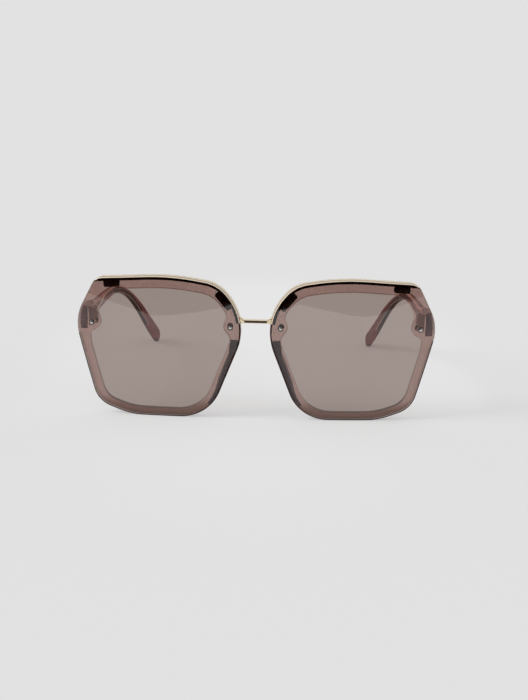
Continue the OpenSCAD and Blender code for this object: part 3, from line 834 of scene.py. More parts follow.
def crystal(name, tint, body, haze, deepening=0.55, shade=None, mottle=None, mirrored=(0.045, 1.0)):
    """Translucent moulded plastic: tinted clear, a little milky, darker where seen at a slant.

    haze is its milky share, deepening the share of the tint's light that a slant view leaves.
    shade is (axis, place where it starts, place where it is full, colour at which it is full).
    mottle is (share by which blotches darken it, their number to a metre). mirrored is (share of
    light that it mirrors straight on, share at a grazing view).
    """
    f = Finish(name)
    surface = per_surface(tint)
    flow = f.noise(70.0, 4.0, stretch=(1, 0.5, 1))
    slant = f.math("POWER", f.facing(), 2.0)
    straight = f.blend(flow, scaled(surface, 0.95), scaled(surface, 1.04))
    clear_colour = f.blend(slant, straight, scaled(surface, deepening))
    if shade:
        axis, start, full, colour_there = shade
        shadow = f.blend(f.along(axis, start, full), WHITE, per_surface(colour_there))
        clear_colour = f.times(clear_colour, shadow)
    milky = f.blend(flow, scaled(body, 0.88), body)
    if mottle:
        amount, density = mottle
        blotch = f.blend(f.between(f.noise(density), 0.0, 1.0), (1.0 - amount,) * 3, WHITE)
        clear_colour = f.times(clear_colour, blotch)
        milky = f.times(milky, blotch)
    clear = f.add("ShaderNodeBsdfTransparent", Color=clear_colour)
    ripple = f.noise(240.0, 2.0)
    milk = f.add(
        "ShaderNodeBsdfPrincipled",
        Base_Color=milky,
        Roughness=0.4,
        Normal=f.bump(ripple, 0.05 * MM),
    )
    gloss = f.add(
        "ShaderNodeBsdfGlossy",
        Color=WHITE,
        Roughness=f.between(ripple, 0.036, 0.096),
        Normal=f.bump(ripple, 0.03 * MM, 0.2),
    )
    return f.done(f.mix(f.mirror_share(*mirrored), f.mix(haze, clear, milk), gloss))


# Painted shade on the rims towards the table: axis, where it starts and is full, the light it leaves
RIM_PAINTED_SHADE = ("Z", 8 * MM, 2.5 * MM, (0.5, 0.36, 0.3))
LIP_PAINTED_SHADE = ("Z", 13 * MM, 5 * MM, (0.12, 0.08, 0.07))


def rim_plastic():
    """Dusty pink crystal plastic of the backing rims, with painted shade deepening it towards the table."""
    tint = settings().finish.rim
    body = (0.45, 0.28, 0.25)
    return crystal("mauve_rim", tint, body, 0.05, 0.8, shade=RIM_PAINTED_SHADE, mirrored=(0.02, 1.0))


def rim_outline_shade():
    """The same plastic at the rims' outer walls, darker from its own depth and painted darker still as shade;
    the lit upper outer side keeps the plain rim.
    """
    return crystal("mauve_outline_shade", (0.5, 0.32, 0.29), (0.2, 0.11, 0.1), 0.12)


def rim_lip():
    """The same plastic at the edges of the rims' openings, with painted shade deepening it towards the table.
    """
    return crystal("mauve_lip", (0.58, 0.42, 0.39), (0.12, 0.07, 0.06), 0.1, shade=LIP_PAINTED_SHADE)


def block_plastic():
    """The same plastic where it is thick, at the end blocks."""
    return crystal("mauve_block", settings().finish.block, (0.36, 0.22, 0.21), 0.12, 0.85)


def block_root_shade():
    """The root of an end block, painted dark as shade where the hinge plate lies close behind it, with dark
    blotches.
    """
    tint = (0.16, 0.07, 0.09)
    body = (0.5, 0.24, 0.28)
    return crystal("mauve_root_shade", tint, body, 0.5, mottle=(0.95, 640.0), mirrored=(0.02, 0.5))


def temple_plastic():
    """The same plastic in the temples, deeper towards the tips."""
    tint = settings().finish.temple
    shade = ("Y", 5 * MM, 55 * MM, (0.46, 0.16, 0.16))
    body = (0.3, 0.12, 0.1)
    return crystal(
        "mauve_temple", tint, body, 0.08, 0.8, shade=shade, mottle=(0.22, 260.0), mirrored=(0.04, 0.2)
    )


def temple_painted_light():
    """Painted highlight on the temples' upper edges: a lighter, milkier copy of their plastic."""
    return crystal("temple_painted_light", (0.82, 0.6, 0.55), (0.95, 0.66, 0.58), 0.75, 0.9, mirrored=(0.045, 0.3))


def temple_painted_shade():
    """Painted shade on the temples' lower sides, a near-black copy of their plastic that also stands in for
    the dark core wire seen through them.
    """
    tint = (0.006, 0.002, 0.0015)
    return crystal("temple_painted_shade", tint, (0.06, 0.016, 0.01), 0.6, mirrored=(0.02, 0.06))


def plain_edge(name, tint, body, haze, roughness, glow=0.0, gloss=0.5):
    """A clear edge: part milky, part clear, with a soft gloss; glow makes it a painted glowing highlight."""
    f = Finish(name)
    cloud = f.noise(180.0, 3.0)
    clear = f.add("ShaderNodeBsdfTransparent", Color=tint)
    milk = f.add(
        "ShaderNodeBsdfPrincipled",
        Base_Color=f.blend(cloud, scaled(body, 0.9), body),
        Roughness=roughness,
        Normal=f.bump(f.noise(600.0, 2.0), 0.01 * MM),
        Specular_IOR_Level=gloss,
        Emission_Color=body,
        Emission_Strength=glow,
    )
    return f.done(f.mix(haze, clear, milk))


def lens_edge_highlight():
    """Polished edge of a lens plate, painted cream as a highlight where light falls on it from above, with a
    faint painted glow.
    """
    return plain_edge("lens_edge_highlight", (0.7, 0.6, 0.5), settings().finish.lens_edge_highlight, 0.75, 0.2, glow=0.1)


def lens_bevel_highlight():
    """Front bevel of a lens plate's upper edge, painted as the brightest highlight along the brow, with a
    faint painted glow.
    """
    tone = settings().finish.lens_bevel_highlight
    return plain_edge("lens_bevel_highlight", (0.8, 0.7, 0.6), tone, 0.85, 0.15, glow=0.16)


def lens_line_shade():
    """Lower and side edges of a lens plate, painted dark as shade where light does not fall on them."""
    return plain_edge("lens_line_shade", (0.12, 0.06, 0.05), (0.034, 0.015, 0.011), 0.94, 0.5, gloss=0.05)


def painted_glint():
    """Painted highlight on bevels inside the clear plastic, which glows though it is no lamp."""
    return plain_edge("plastic_glint", (0.9, 0.8, 0.76), (0.95, 0.82, 0.78), 0.85, 0.3, glow=0.8)


def pad_plastic():
    """Dark moulded plastic of the nose pads."""
    body = settings().finish.pad
    f = Finish("pad_plastic")
    mottle = f.noise(300.0, 4.0)
    return f.solid(
        f.blend(mottle, scaled(body, 0.8), scaled(body, 1.25)),
        f.between(mottle, 0.22, 0.38),
        f.bump(f.noise(900.0, 2.0), 0.03 * MM),
        Specular_IOR_Level=0.2,
        Subsurface_Weight=0.2,
        Subsurface_Radius=(1.2 * MM, 0.7 * MM, 0.6 * MM),
    )


def gilt():
    """Polished gilt metal with fine draw lines."""
    gold = settings().finish.gold
    f = Finish("gold_metal")
    tone = f.blend(f.noise(160.0, 3.0), scaled(gold, 0.94), gold)
    lines = f.noise(320.0, 2.0, stretch=(0.15, 1, 1))
    return f.solid(tone, f.between(lines, 0.12, 0.24), f.bump(lines, 0.004 * MM), Metallic=1.0)


def dark_enamel():
    """Smooth dark enamel on the front faces of the bars and lugs."""
    enamel = settings().finish.enamel
    f = Finish("dark_enamel")
    cloud = f.noise(220.0, 3.0)
    tone = f.blend(cloud, scaled(enamel, 0.7), scaled(enamel, 1.5))
    return f.solid(tone, f.between(cloud, 0.2, 0.34), f.bump(f.noise(700.0, 2.0), 0.01 * MM))


def metal(name, tone, low, high):
    """A plain metal with a turned or drawn finish, and the bounds of its roughness."""
    f = Finish(name)
    grain = f.noise(1400.0, 3.0)
    worn = f.blend(grain, scaled(tone, 0.9), tone)
    return f.solid(worn, f.between(grain, low, high), f.bump(grain, 0.004 * MM), Metallic=1.0)


def core_wire():
    """Drawn core wire, bright towards the hinge and dark from the bend on."""
    s = settings().finish
    f = Finish("core_steel")
    grain = f.noise(900.0, 3.0, stretch=(1, 0.1, 1))
    tone = f.blend(f.along("Y", -18 * MM, 12 * MM), s.core_front, s.core)
    worn = f.times(tone, f.blend(grain, scaled(WHITE, 0.85), WHITE))
    return f.solid(worn, f.between(grain, 0.28, 0.42), f.bump(grain, 0.004 * MM), Metallic=1.0)


FINISH_MAKERS = {
    "lens": lens_glass,
    "lens_edge_highlight": lens_edge_highlight,
    "lens_bevel_highlight": lens_bevel_highlight,
    "lens_line_shade": lens_line_shade,
    "rim": rim_plastic,
    "rim_outline_shade": rim_outline_shade,
    "rim_lip": rim_lip,
    "block": block_plastic,
    "block_root_shade": block_root_shade,
    "painted_glint": painted_glint,
    "temple": temple_plastic,
    "temple_painted_light": temple_painted_light,
    "temple_painted_shade": temple_painted_shade,
    "pad": pad_plastic,
    "gold": gilt,
    "enamel": dark_enamel,
    "leaf": lambda: metal("leaf_gilt", settings().finish.leaf, 0.42, 0.55),
    "steel": lambda: metal("rivet_steel", settings().finish.steel, 0.08, 0.18),
    # The ring finish is painted shade round each rivet head's recess
    "ring": lambda: metal("rivet_ring_shade", settings().finish.ring, 0.12, 0.24),
    "core": core_wire,
}
made = {}


def finish(name):
    """The material of that name, made at its first use."""
    if name not in made:
        made[name] = FINISH_MAKERS[name]()
    return made[name]


# Pieces

# Rays from the dome's middle on which the points of the plates' and rims' edges lie
EDGE_RAYS = 288
# Angles in degrees between which the lens edge gets painted highlight, the outline gets no painted
# shade and the rim's opening gets a painted highlight
LIT_EDGE = (45, 161)
PALE_OUTLINE = (7, 48)
PAINTED_LIP_GLINT = (27, 41)
# Finishes of a lens plate's faces where its edge gets painted highlight, from the front bevel to the back
LIT_NUMBERS = (0, 2, 1, 1, 1, 1)
# Elsewhere, the number of those faces painted dark as shade
DARK_STEPS = 4


def edge_profile(edge, near, far):
    """Inset and level of the points that round the two edges of a plate."""
    return [
        (edge * 1.6, near),
        (edge, near),
        (edge * 0.3, near + edge * 0.3),
        (0.0, near + edge),
        (0.0, far - edge),
        (edge * 0.3, far - edge * 0.3),
        (edge, far),
        (edge * 1.6, far),
    ]


def plate_edge(inset=0.0):
    """The lens outline, drawn in by inset, where each ray from the dome's middle meets it."""
    outline = lens_outline(inset)
    return first_edge(lambda points: depth_inside(outline, points), rays(EDGE_RAYS))


def ray_angle(k):
    """Angle in degrees of ray k, from the outer side by way of the top to the nose side."""
    return 360 * k / EDGE_RAYS


def pale_outline(k):
    """True along the lit upper outer side, where no painted shade line follows the outline."""
    return PALE_OUTLINE[0] < ray_angle(k) < PALE_OUTLINE[1]


class SUNGLASSES_OT_lens_plates(Operator):
    """Makes the two domed, tinted lens plates with polished edges"""

    bl_idname = "sunglasses.lens_plates"
    bl_label = "Lens Plates"
    bl_options = {"REGISTER", "UNDO"}

    def execute(self, context):
        lens = settings().lens
        centre = np.array(dome_centre())
        inward = (0.96, 0.88, 0.76, 0.62, 0.46, 0.3, 0.15, 0.02)
        profile = edge_profile(lens.polish, 0.0, lens.thick)
        edges = {inset: plate_edge(inset) for inset in {inset for inset, _ in profile}}
        flat = edges[profile[0][0]]
        finishes = ("lens", "lens_edge_highlight", "lens_bevel_highlight", "lens_line_shade")
        for name, side in SIDES.items():
            rows = []
            for i in range(EDGE_RAYS):
                disc = [centre + (flat[i] - centre) * k for k in inward]
                row = [on_level(side, xz, 0.0) for xz in reversed(disc)]
                row += [on_level(side, edges[inset][i], level) for inset, level in profile]
                row += [on_level(side, xz, lens.thick) for xz in disc]
                rows.append(row)
            by_ring = [list(ring) for ring in zip(*rows)]
            piece = skin(
                f"lens_plate_{name}",
                by_ring,
                paint=lambda i, k: self.edge_number(i - len(inward), k),
                smooth_below=70,
            )
            settle(piece, "front", "lens_tint", [f"lens_{name}"], *finishes)
        return {"FINISHED"}

    def edge_number(self, step, k):
        """1 and 2 for the painted highlight on the edge and its front bevel where they face up, 3 for painted
        shade elsewhere.
        """
        if k is None or not 0 <= step < len(LIT_NUMBERS):
            return 0
        if LIT_EDGE[0] <= ray_angle(k) <= LIT_EDGE[1]:
            return LIT_NUMBERS[step]
        return 3 if step < DARK_STEPS and not pale_outline(k) else 0


def brow_ends():
    """X of a brow bar's outer end and z of its end at the bridge."""
    s = settings()
    end_x = s.lens.gap / 2 + s.lens.width - s.bars.brow_end_inset
    low_z = s.bars.bridge_z_share * s.lens.height - s.bars.bridge_drop
    return end_x, low_z


def brow_limits(points):
    """True for the outline's points that the brow bar covers."""
    end_x, low_z = brow_ends()
    return (points[:, 0] < end_x) & (points[:, 1] > low_z)


# Faces round the rim's section: its outer wall, its inner wall with the bevels, its front inner bevel
OUTER_WALL = 3
INNER_WALL = (10, 11, 12)
FRONT_LIP = 13
# Turns round the end block's section between which its bevel gets painted highlight
BLOCK_PAINTED_GLINT = (0.34, 0.86)


class SUNGLASSES_OT_rims(Operator):
    """Makes the two backing rims with their rivet lobes and end blocks"""

    bl_idname = "sunglasses.rims"
    bl_label = "Backing Rims"
    bl_options = {"REGISTER", "UNDO"}

    def execute(self, context):
        s = settings()
        near = s.lens.thick + 2 * SEAT_GAP
        far = s.lens.thick + s.rim.thick
        profile = edge_profile(s.rim.edge, near, far)
        outer = plate_edge()
        notched = plate_edge(s.bars.brow_t + SEAT_GAP)
        outer = np.where(brow_limits(outer)[:, None], notched, outer)
        inner = first_edge(opening_depth(), rays(EDGE_RAYS))
        finishes = ("rim", "rim_outline_shade", "rim_lip", "painted_glint")
        for name, side in SIDES.items():
            rows = []
            for out, inn in zip(outer, inner):
                across = unit(inn - out)
                row = [on_level(side, out + across * d, level) for d, level in profile]
                row += [on_level(side, inn - across * d, level) for d, level in reversed(profile)]
                rows.append(row)
            piece = skin(f"rim_ring_{name}", rows, ring=True, paint=self.edge_number)
            settle(piece, "front", "mauve_plastic", [f"rim_{name}"], *finishes)
            block = skin(f"end_block_{name}", self.block_rows(side, far), paint=self.block_number)
            settle(block, "front", "mauve_plastic", [], "block", "block_root_shade", "painted_glint")
        return {"FINISHED"}

    def edge_number(self, ray, k):
        """1 for painted shade on the ring's outer wall, 2 for its inner wall and 3 for the painted highlight
        on its inner bevel.
        """
        if k == OUTER_WALL:
            return 0 if pale_outline(ray) else 1
        if k == FRONT_LIP and PAINTED_LIP_GLINT[0] < ray_angle(ray) < PAINTED_LIP_GLINT[1]:
            return 3
        return 2 if k in INNER_WALL else 0

    def block_number(self, row, k):
        """1 for the root behind the rim, painted dark as shade, 2 for the painted highlight on the bevel of
        its inner and lower sides.
        """
        if row != 0:
            return 0
        if k is not None and BLOCK_PAINTED_GLINT[0] < (k + 1) / TEMPLE_SIDES < BLOCK_PAINTED_GLINT[1]:
            return 2
        return 1

    def block_rows(self, side, far):
        """Rings from the rim's back to the joint, where they have the temple's own section."""
        s = settings()
        t = s.temples
        full = TemplePath().ring(0.0, t.block_t, t.block_h)
        cut = 2 * BLOCK_BEVEL
        first_ring = TemplePath().ring(0.0, t.block_t - cut, t.block_h - cut, BLOCK_FRONT_POWER)
        outline = lens_outline(BLOCK_EASE)
        outer = outline[outline[:, 0] > dome_centre()[0]]
        outer = outer[np.argsort(outer[:, 1])]
        ways = [0.0, 0.025] + list(np.linspace(0.12, 1.0, BLOCK_RINGS - 1))
        rows = []
        for i in range(BLOCK_RINGS + 1):
            row = []
            for x, _, z in full if i else first_ring:
                side_x = np.interp(z, outer[:, 1], outer[:, 0]) * math.cos(s.lens.wrap)
                limit = side_x - BLOCK_FREE_Y * math.sin(s.lens.wrap)
                first = rim_back_y(x, z, far - s.rim.edge)
                y = first + (t.joint_depth - SEAT_GAP - first) * ways[i]
                free = min(1.0, max(0.0, (y - BLOCK_FREE_Y) / (t.joint_depth - BLOCK_FREE_Y)))
                row.append(beside(side, x + (1 - free) * min(0.0, limit - x), y, z))
            rows.append(row)
        return rows


# Brow bar: length of the point in which it runs out and share of its height that the point starts at
BAR_TAPER = 3.2 * MM
BAR_POINT_SHARE = 0.12


def bar_run(insets, count):
    """Points of the outline, drawn in by each inset, along the stretch that the brow bar covers.

    Before the stretch begins the insets shrink, so that the bar runs out in a point.
    """
    curves = [lens_outline(inset) for inset in insets]
    base = lens_outline()
    way = way_along(base)
    end_x, low_z = brow_ends()
    leftmost = int(np.argmin(base[:, 0]))
    highest = int(np.argmax(base[:, 1]))
    lowest = int(np.argmin(base[:, 1]))
    begin = np.interp(-end_x, -base[:leftmost, 0], way[:leftmost])
    end = np.interp(-low_z, -base[highest:lowest, 1], way[highest:lowest])
    runs = []
    for w in np.linspace(begin - BAR_TAPER, end, count):
        full = min(1.0, BAR_POINT_SHARE + (w - begin + BAR_TAPER) / BAR_TAPER)
        outer = point_at(w, way, base)
        runs.append([outer + (point_at(w, way, curve) - outer) * full for curve in curves])
    return runs


# Enamelled faces of a brow bar's section, and rows at its point where the gilt band is dark too
ENAMEL_FACES = (1, 2, 9, 10)
POINT_ROWS = 3


class SUNGLASSES_OT_brow_bars(Operator):
    """Makes the gilt brow bars with the dark lower band of their front faces"""

    bl_idname = "sunglasses.brow_bars"
    bl_label = "Brow Bars"
    bl_options = {"REGISTER", "UNDO"}

    def execute(self, context):
        s = settings()
        b = s.bars
        near = s.lens.thick + SEAT_GAP
        far = s.lens.thick + b.brow_depth
        e = b.edge
        section = [
            (e, near),
            (b.gilt_band, near),
            (b.brow_t - e, near),
            (b.brow_t, near + e),
            (b.brow_t, far - e),
            (b.brow_t - e, far),
            (e, far),
            (e * 0.3, far - e * 0.3),
            (0.0, far - e),
            (0.0, near + e),
            (e * 0.3, near + e * 0.3),
        ]
        run = bar_run([inset for inset, _ in section], 110)
        levels = [level for _, level in section]
        for name, side in SIDES.items():
            rows = [[on_level(side, xz, lv) for xz, lv in zip(points, levels)] for points in run]
            piece = skin(f"brow_bar_{name}_gilt", rows, paint=self.enamelled)
            settle(piece, "front", "gold_metal", [f"brow_bar_{name}"], "gold", "enamel")
        return {"FINISHED"}

    def enamelled(self, row, k):
        """1 for the enamelled faces: the front's lower band, its top bevel and the point's front."""
        return int(k in ENAMEL_FACES or (k == 0 and row < POINT_ROWS))


class SUNGLASSES_OT_bridge(Operator):
    """Makes the straight bridge bar that flares into the brow bars"""

    bl_idname = "sunglasses.bridge"
    bl_label = "Bridge Bar"
    bl_options = {"REGISTER", "UNDO"}

    def execute(self, context):
        s = settings()
        b = s.bars
        lens = s.lens
        edge = 0.28 * MM
        slices = 30
        bridge_z = b.bridge_z_share * lens.height
        low = bridge_z - b.bridge_drop
        front = rim_back_y(lens.gap / 2, bridge_z, lens.thick)
        flare_x = lens.gap / 2 - b.flare_len
        outline = lens_outline()
        inner = outline[outline[:, 0] < dome_centre()[0]]
        inner = inner[np.argsort(inner[:, 1])]
        rows = []
        for share_along in np.linspace(-1, 1, slices + 1):
            x = share_along * lens.gap / 2
            rise = max(0.0, abs(x) - flare_x) / b.flare_len
            top = low + b.bridge_t + b.bridge_flare * rise**1.5
            corners = np.array([
                (front, low),
                (front + b.bridge_depth, low),
                (front + b.bridge_depth, top),
                (front, top),
            ])
            row = []
            for y, z in rounded(corners, [edge] * 4, steps=5):
                at = x
                if abs(share_along) == 1:
                    side_x = np.interp(z, inner[:, 1], inner[:, 0]) * math.cos(lens.wrap)
                    at = share_along * (side_x - y * math.sin(lens.wrap) - SEAT_GAP)
                row.append(beside(1, at, y, z))
            rows.append(row)
        first = round((1 - b.bridge_dark / (lens.gap / 2)) * slices / 2)
        front_face = len(rows[0]) - 1
        piece = skin(
            "bridge_bar_gilt",
            rows,
            paint=lambda i, k: int(k == front_face and first <= i < slices - first),
        )
        settle(piece, "front", "gold_metal", ["bridge_bar"], "gold", "enamel")
        return {"FINISHED"}


class SUNGLASSES_OT_lugs(Operator):
    """Makes the dark enamelled lugs that hang from the brow bars"""

    bl_idname = "sunglasses.lugs"
    bl_label = "Lugs"
    bl_options = {"REGISTER", "UNDO"}

    def execute(self, context):
        s = settings()
        b = s.bars
        corners = lens_corners()
        outer_x = s.lens.gap / 2 + s.lens.width - b.outer_lug_inset - b.outer_lug_w / 2
        top_share = (corners[0][0] - outer_x) / (corners[0][0] - corners[1][0])
        places = {
            "outer": (0, top_share, b.outer_lug_w),
            "inner": (2, b.inner_lug_share, b.inner_lug_w),
        }
        near = s.lens.thick + SEAT_GAP
        far = s.lens.thick + b.lug_t
        for kind, (i, along, wide) in places.items():
            place = corners[i] + along * (corners[i + 1] - corners[i])
            heading = side_heading(corners, i)
            rings = [
                (self.outline(place, heading, wide, b.edge), near),
                (self.outline(place, heading, wide, b.edge * 0.3), near + b.edge * 0.3),
                (self.outline(place, heading, wide, 0.0), near + b.edge),
                (self.outline(place, heading, wide, 0.0), far),
            ]
            for name, side in SIDES.items():
                rows = [[on_level(side, xz, level) for xz in ring] for ring, level in rings]
                piece = skin(f"lug_{kind}_{name}_plate", rows)
                settle(piece, "front", "gold_metal", [f"lug_{kind}_{name}"], "enamel")
        return {"FINISHED"}

    def outline(self, place, heading, wide, inset):
        """A lug's outline in x and z, whose top follows the lower side of its brow bar."""
        b = settings().bars
        outward = np.array([math.cos(heading), math.sin(heading)])
        along = np.array([outward[1], -outward[0]])
        reach = b.brow_t + b.lug_drop
        top = 0.4 * b.lug_drop
        corners = np.array([(-wide / 2, -reach), (wide / 2, -reach), (wide / 2, top), (-wide / 2, top)])
        steps = 8
        own = rounded(corners, [b.lug_r, b.lug_r, b.edge, b.edge], inset, steps)
        filled = []
        for k, point in enumerate(own):
            following = own[(k + 1) % len(own)]
            # The straight stretch after each corner is split, so that it can follow the bar
            parts = 14 if k % (steps + 1) == steps else 1
            filled += [point + (following - point) * j / parts for j in range(parts)]
        points = np.array([place + along * u + outward * v for u, v in filled])
        short = b.brow_t + SEAT_GAP + inset - depth_inside(lens_outline(), points)
        return points - outward * np.maximum(0.0, short)[:, None]


class SUNGLASSES_OT_lens_rivets(Operator):
    """Makes the lens rivets with their ringed heads in front and their caps behind"""

    bl_idname = "sunglasses.lens_rivets"
    bl_label = "Lens Rivets"
    bl_options = {"REGISTER", "UNDO"}

    def execute(self, context):
        s = settings()
        r = s.rivets
        back = s.lens.thick + s.rim.thick
        head = r.head_d / 2
        shank = r.shank_d / 2
        head_profile = [
            (shank, -back + 0.2 * MM),
            (shank, SEAT_GAP),
            (head * 0.97, SEAT_GAP),
            (head, 0.08 * MM),
            (head * 0.98, r.head_h * 0.34),
            (head * 0.86, r.head_h * 0.6),
            (head * 0.72, r.head_h * 0.66),
            (head * 0.6, r.head_h * 0.58),
            (head * 0.56, r.head_h * 0.6),
            (head * 0.5, r.head_h * 0.78),
            (head * 0.36, r.head_h * 0.93),
            (head * 0.18, r.head_h * 0.99),
            (head * 0.04, r.head_h),
        ]
        cap_profile = [
            (head * 0.96, SEAT_GAP),
            (head, 0.08 * MM),
            (head * 0.97, r.cap_h * 0.35),
            (head * 0.82, r.cap_h * 0.7),
            (head * 0.55, r.cap_h * 0.92),
            (head * 0.25, r.cap_h * 0.99),
            (head * 0.04, r.cap_h),
        ]
        for name, side in SIDES.items():
            heads = []
            caps = []
            for spot in rivet_spots():
                place, out = point_normal(side, spot)
                heads.append(lathe(head_profile, place, out))
                caps.append(lathe(cap_profile, place - out * back, -out))
            # Rows 2 to 7 of each head, over its shoulder and into its recess, take the ring finish as painted
            # shade
            piece = skin(f"lens_rivets_{name}_heads", *heads, paint=lambda i, k: int(2 <= i < 8))
            settle(piece, "front", "rivet_steel", [f"lens_rivets_{name}"], "steel", "ring")
            rear_piece = skin(f"rivet_caps_{name}_domed", *caps)
            settle(rear_piece, "front", "rivet_steel", [f"rivet_caps_{name}"], "steel")
        return {"FINISHED"}


class SUNGLASSES_OT_nose_pads(Operator):
    """Makes the moulded nose pads on the backs of the rims"""

    bl_idname = "sunglasses.nose_pads"
    bl_label = "Nose Pads"
    bl_options = {"REGISTER", "UNDO"}

    def execute(self, context):
        s = settings()
        p = s.pads
        outline = lens_outline(p.edge)
        top_z = p.top_share * s.lens.height
        bottom_z = p.bottom_share * s.lens.height
        highest = int(np.argmax(outline[:, 1]))
        lowest = int(np.argmin(outline[:, 1]))
        stretch = outline[highest:lowest]
        way = way_along(stretch)
        begin = np.interp(-top_z, -stretch[:, 1], way)
        end = np.interp(-bottom_z, -stretch[:, 1], way)
        # The sections lie closer together towards both ends
        rings = 48
        shares = (1 - np.cos(np.linspace(0, math.pi, rings + 1))) / 2
        for name, side in SIDES.items():
            rows = []
            for t in shares:
                at = begin + t * (end - begin)
                here = point_at(at, way, stretch)
                there = point_at(min(at + 0.2 * MM, way[-1]), way, stretch)
                along = unit(there - here)
                inward = np.array([-along[1], along[0]])
                rows.append(self.ring(side, here, inward, t))
            piece = skin(f"nose_pad_{name}_moulded", rows, smooth_below=60)
            settle(piece, "front", "pad_plastic", [f"nose_pad_{name}"], "pad")
        return {"FINISHED"}

    def ring(self, side, here, inward, t):
        """One section of a pad at share t of its length: a fin with a rounded ridge."""
        s = settings()
        p = s.pads
        level = s.lens.thick + s.rim.thick + SEAT_GAP
        swell = p.end_share + (1 - p.end_share) * math.sin(math.pi * t**p.skew)
        root = np.interp(t, PAD_ROOT_PLACES, PAD_ROOT_SHARES) * p.root_w
        ridge = min(p.ridge_w, root) / 2
        high = p.reach * swell
        middle = ridge + p.flare * swell
        section = [(0.0, 0.0), (0.03 * root, 0.25 * high), (0.4 * (middle - ridge), 0.6 * high)]
        for k in range(13):
            a = math.pi - math.pi * k / 12
            section.append((middle + ridge * math.cos(a), high - ridge + ridge * math.sin(a)))
        inner = middle + ridge
        section += [
            (inner + 0.25 * (root - inner), 0.5 * (high - ridge)),
            (inner + 0.6 * (root - inner), 0.2 * (high - ridge)),
            (root, 0.0),
            (0.7 * root, -0.2 * MM),
            (0.3 * root, -0.2 * MM),
        ]
        row = []
        for u, v in section:
            point = on_level(side, here + inward * u, level)
            back = point_normal(side, here + inward * u, level)[1]
            row.append(point - back * v)
        return row


# Painted shade on the lower side of a temple: section from which each stretch runs and the turn where it
# begins
PAINTED_SHADE_STEPS = ((87, 0.84), (81, 0.78), (60, 0.64), (46, 0.74), (0, 1.0))
PAINTED_SHADE_END = 0.93
# Strips painted as highlight: first and last section, and the turns between which each one lies
PAINTED_LIGHT_STRIPS = ((0, 102, 0.1, 0.17), (7, 102, 0.3, 0.42), (45, 81, 0.6, 0.64))


class SUNGLASSES_OT_temples(Operator):
    """Makes the temples with their widened tips and the core wires inside them"""

    bl_idname = "sunglasses.temples"
    bl_label = "Temples"
    bl_options = {"REGISTER", "UNDO"}

    def execute(self, context):
        path = TemplePath()
        t = path.sizes
        bevel = 0.25 * MM
        # Behind the joint a temple is thinner by this much, so that its hinge leaf stands proud
        leaf_proud = 0.1 * MM
        stations = np.linspace(0.8 * MM, path.length - t.tip_round, 90)
        spots = [0.0, bevel * 0.3, bevel, *stations]
        rings = []
        for s in spots:
            cut = 2 * bevel * (1 - math.sqrt(1 - (1 - min(1.0, s / bevel)) ** 2))
            proud = leaf_proud * (1 - eased(s, t.leaf_len, t.leaf_len * 1.5))
            rings.append(path.ring(s, path.thickness(s) - cut - proud, path.height(s) - cut))
        cap_steps = 10
        for i in range(1, cap_steps + 1):
            a = math.radians(TIP_CAP_ANGLE) * i / cap_steps
            s = path.length - t.tip_round * (1 - math.sin(a))
            wide = t.tip_t * (1 - TIP_THINNING * (1 - math.cos(a)))
            high = t.tip_h - 2 * t.tip_round * (1 - math.cos(a))
            power = TEMPLE_POWER + (TIP_POWER - TEMPLE_POWER) * i / cap_steps
            rings.append(path.ring(s, wide, high, power))
        core = [
            path.ring(s, t.core_t, t.core_w, CORE_POWER, sides=16)
            for s in np.linspace(t.core_start, path.length - t.core_end, 60)
        ]
        finishes = ("temple", "temple_painted_light", "temple_painted_shade")
        for name, side in SIDES.items():
            body = f"temple_arm_{name}"
            rows = [[beside(side, *p) for p in ring] for ring in rings]
            piece = skin(f"temple_{name}_moulded", rows, paint=self.strip_number)
            settle(piece, body, "mauve_plastic", [f"temple_{name}"], *finishes)
            core_rows = [[beside(side, *p) for p in ring] for ring in core]
            wire = skin(f"temple_core_{name}_wire", core_rows)
            settle(wire, body, "core_steel", [f"temple_core_{name}"], "core")
        return {"FINISHED"}

    def strip_number(self, row, k):
        """1 for the edges painted as highlight, 2 for the lower side painted dark as shade."""
        if k is None:
            return 0
        turn = (k + 1) / TEMPLE_SIDES
        for first, last, low, high in PAINTED_LIGHT_STRIPS:
            if first <= row <= last and low < turn < high:
                return 1
        first, low = next(step for step in PAINTED_SHADE_STEPS if row >= step[0])
        return 2 if first and low < turn < PAINTED_SHADE_END else 0


def looked_at(tree):
    """1 for rays from the camera, also by way of gloss and glass. For the floor and the world alone."""
    path = tree.nodes.new("ShaderNodeLightPath")
    seen = path.outputs["Is Camera Ray"]
    for kind in ("Is Glossy Ray", "Is Transmission Ray"):
        either = tree.nodes.new("ShaderNodeMath")
        either.operation = "MAXIMUM"
        tree.links.new(seen, either.inputs[0])
        tree.links.new(path.outputs[kind], either.inputs[1])
        seen = either.outputs[0]
    return seen


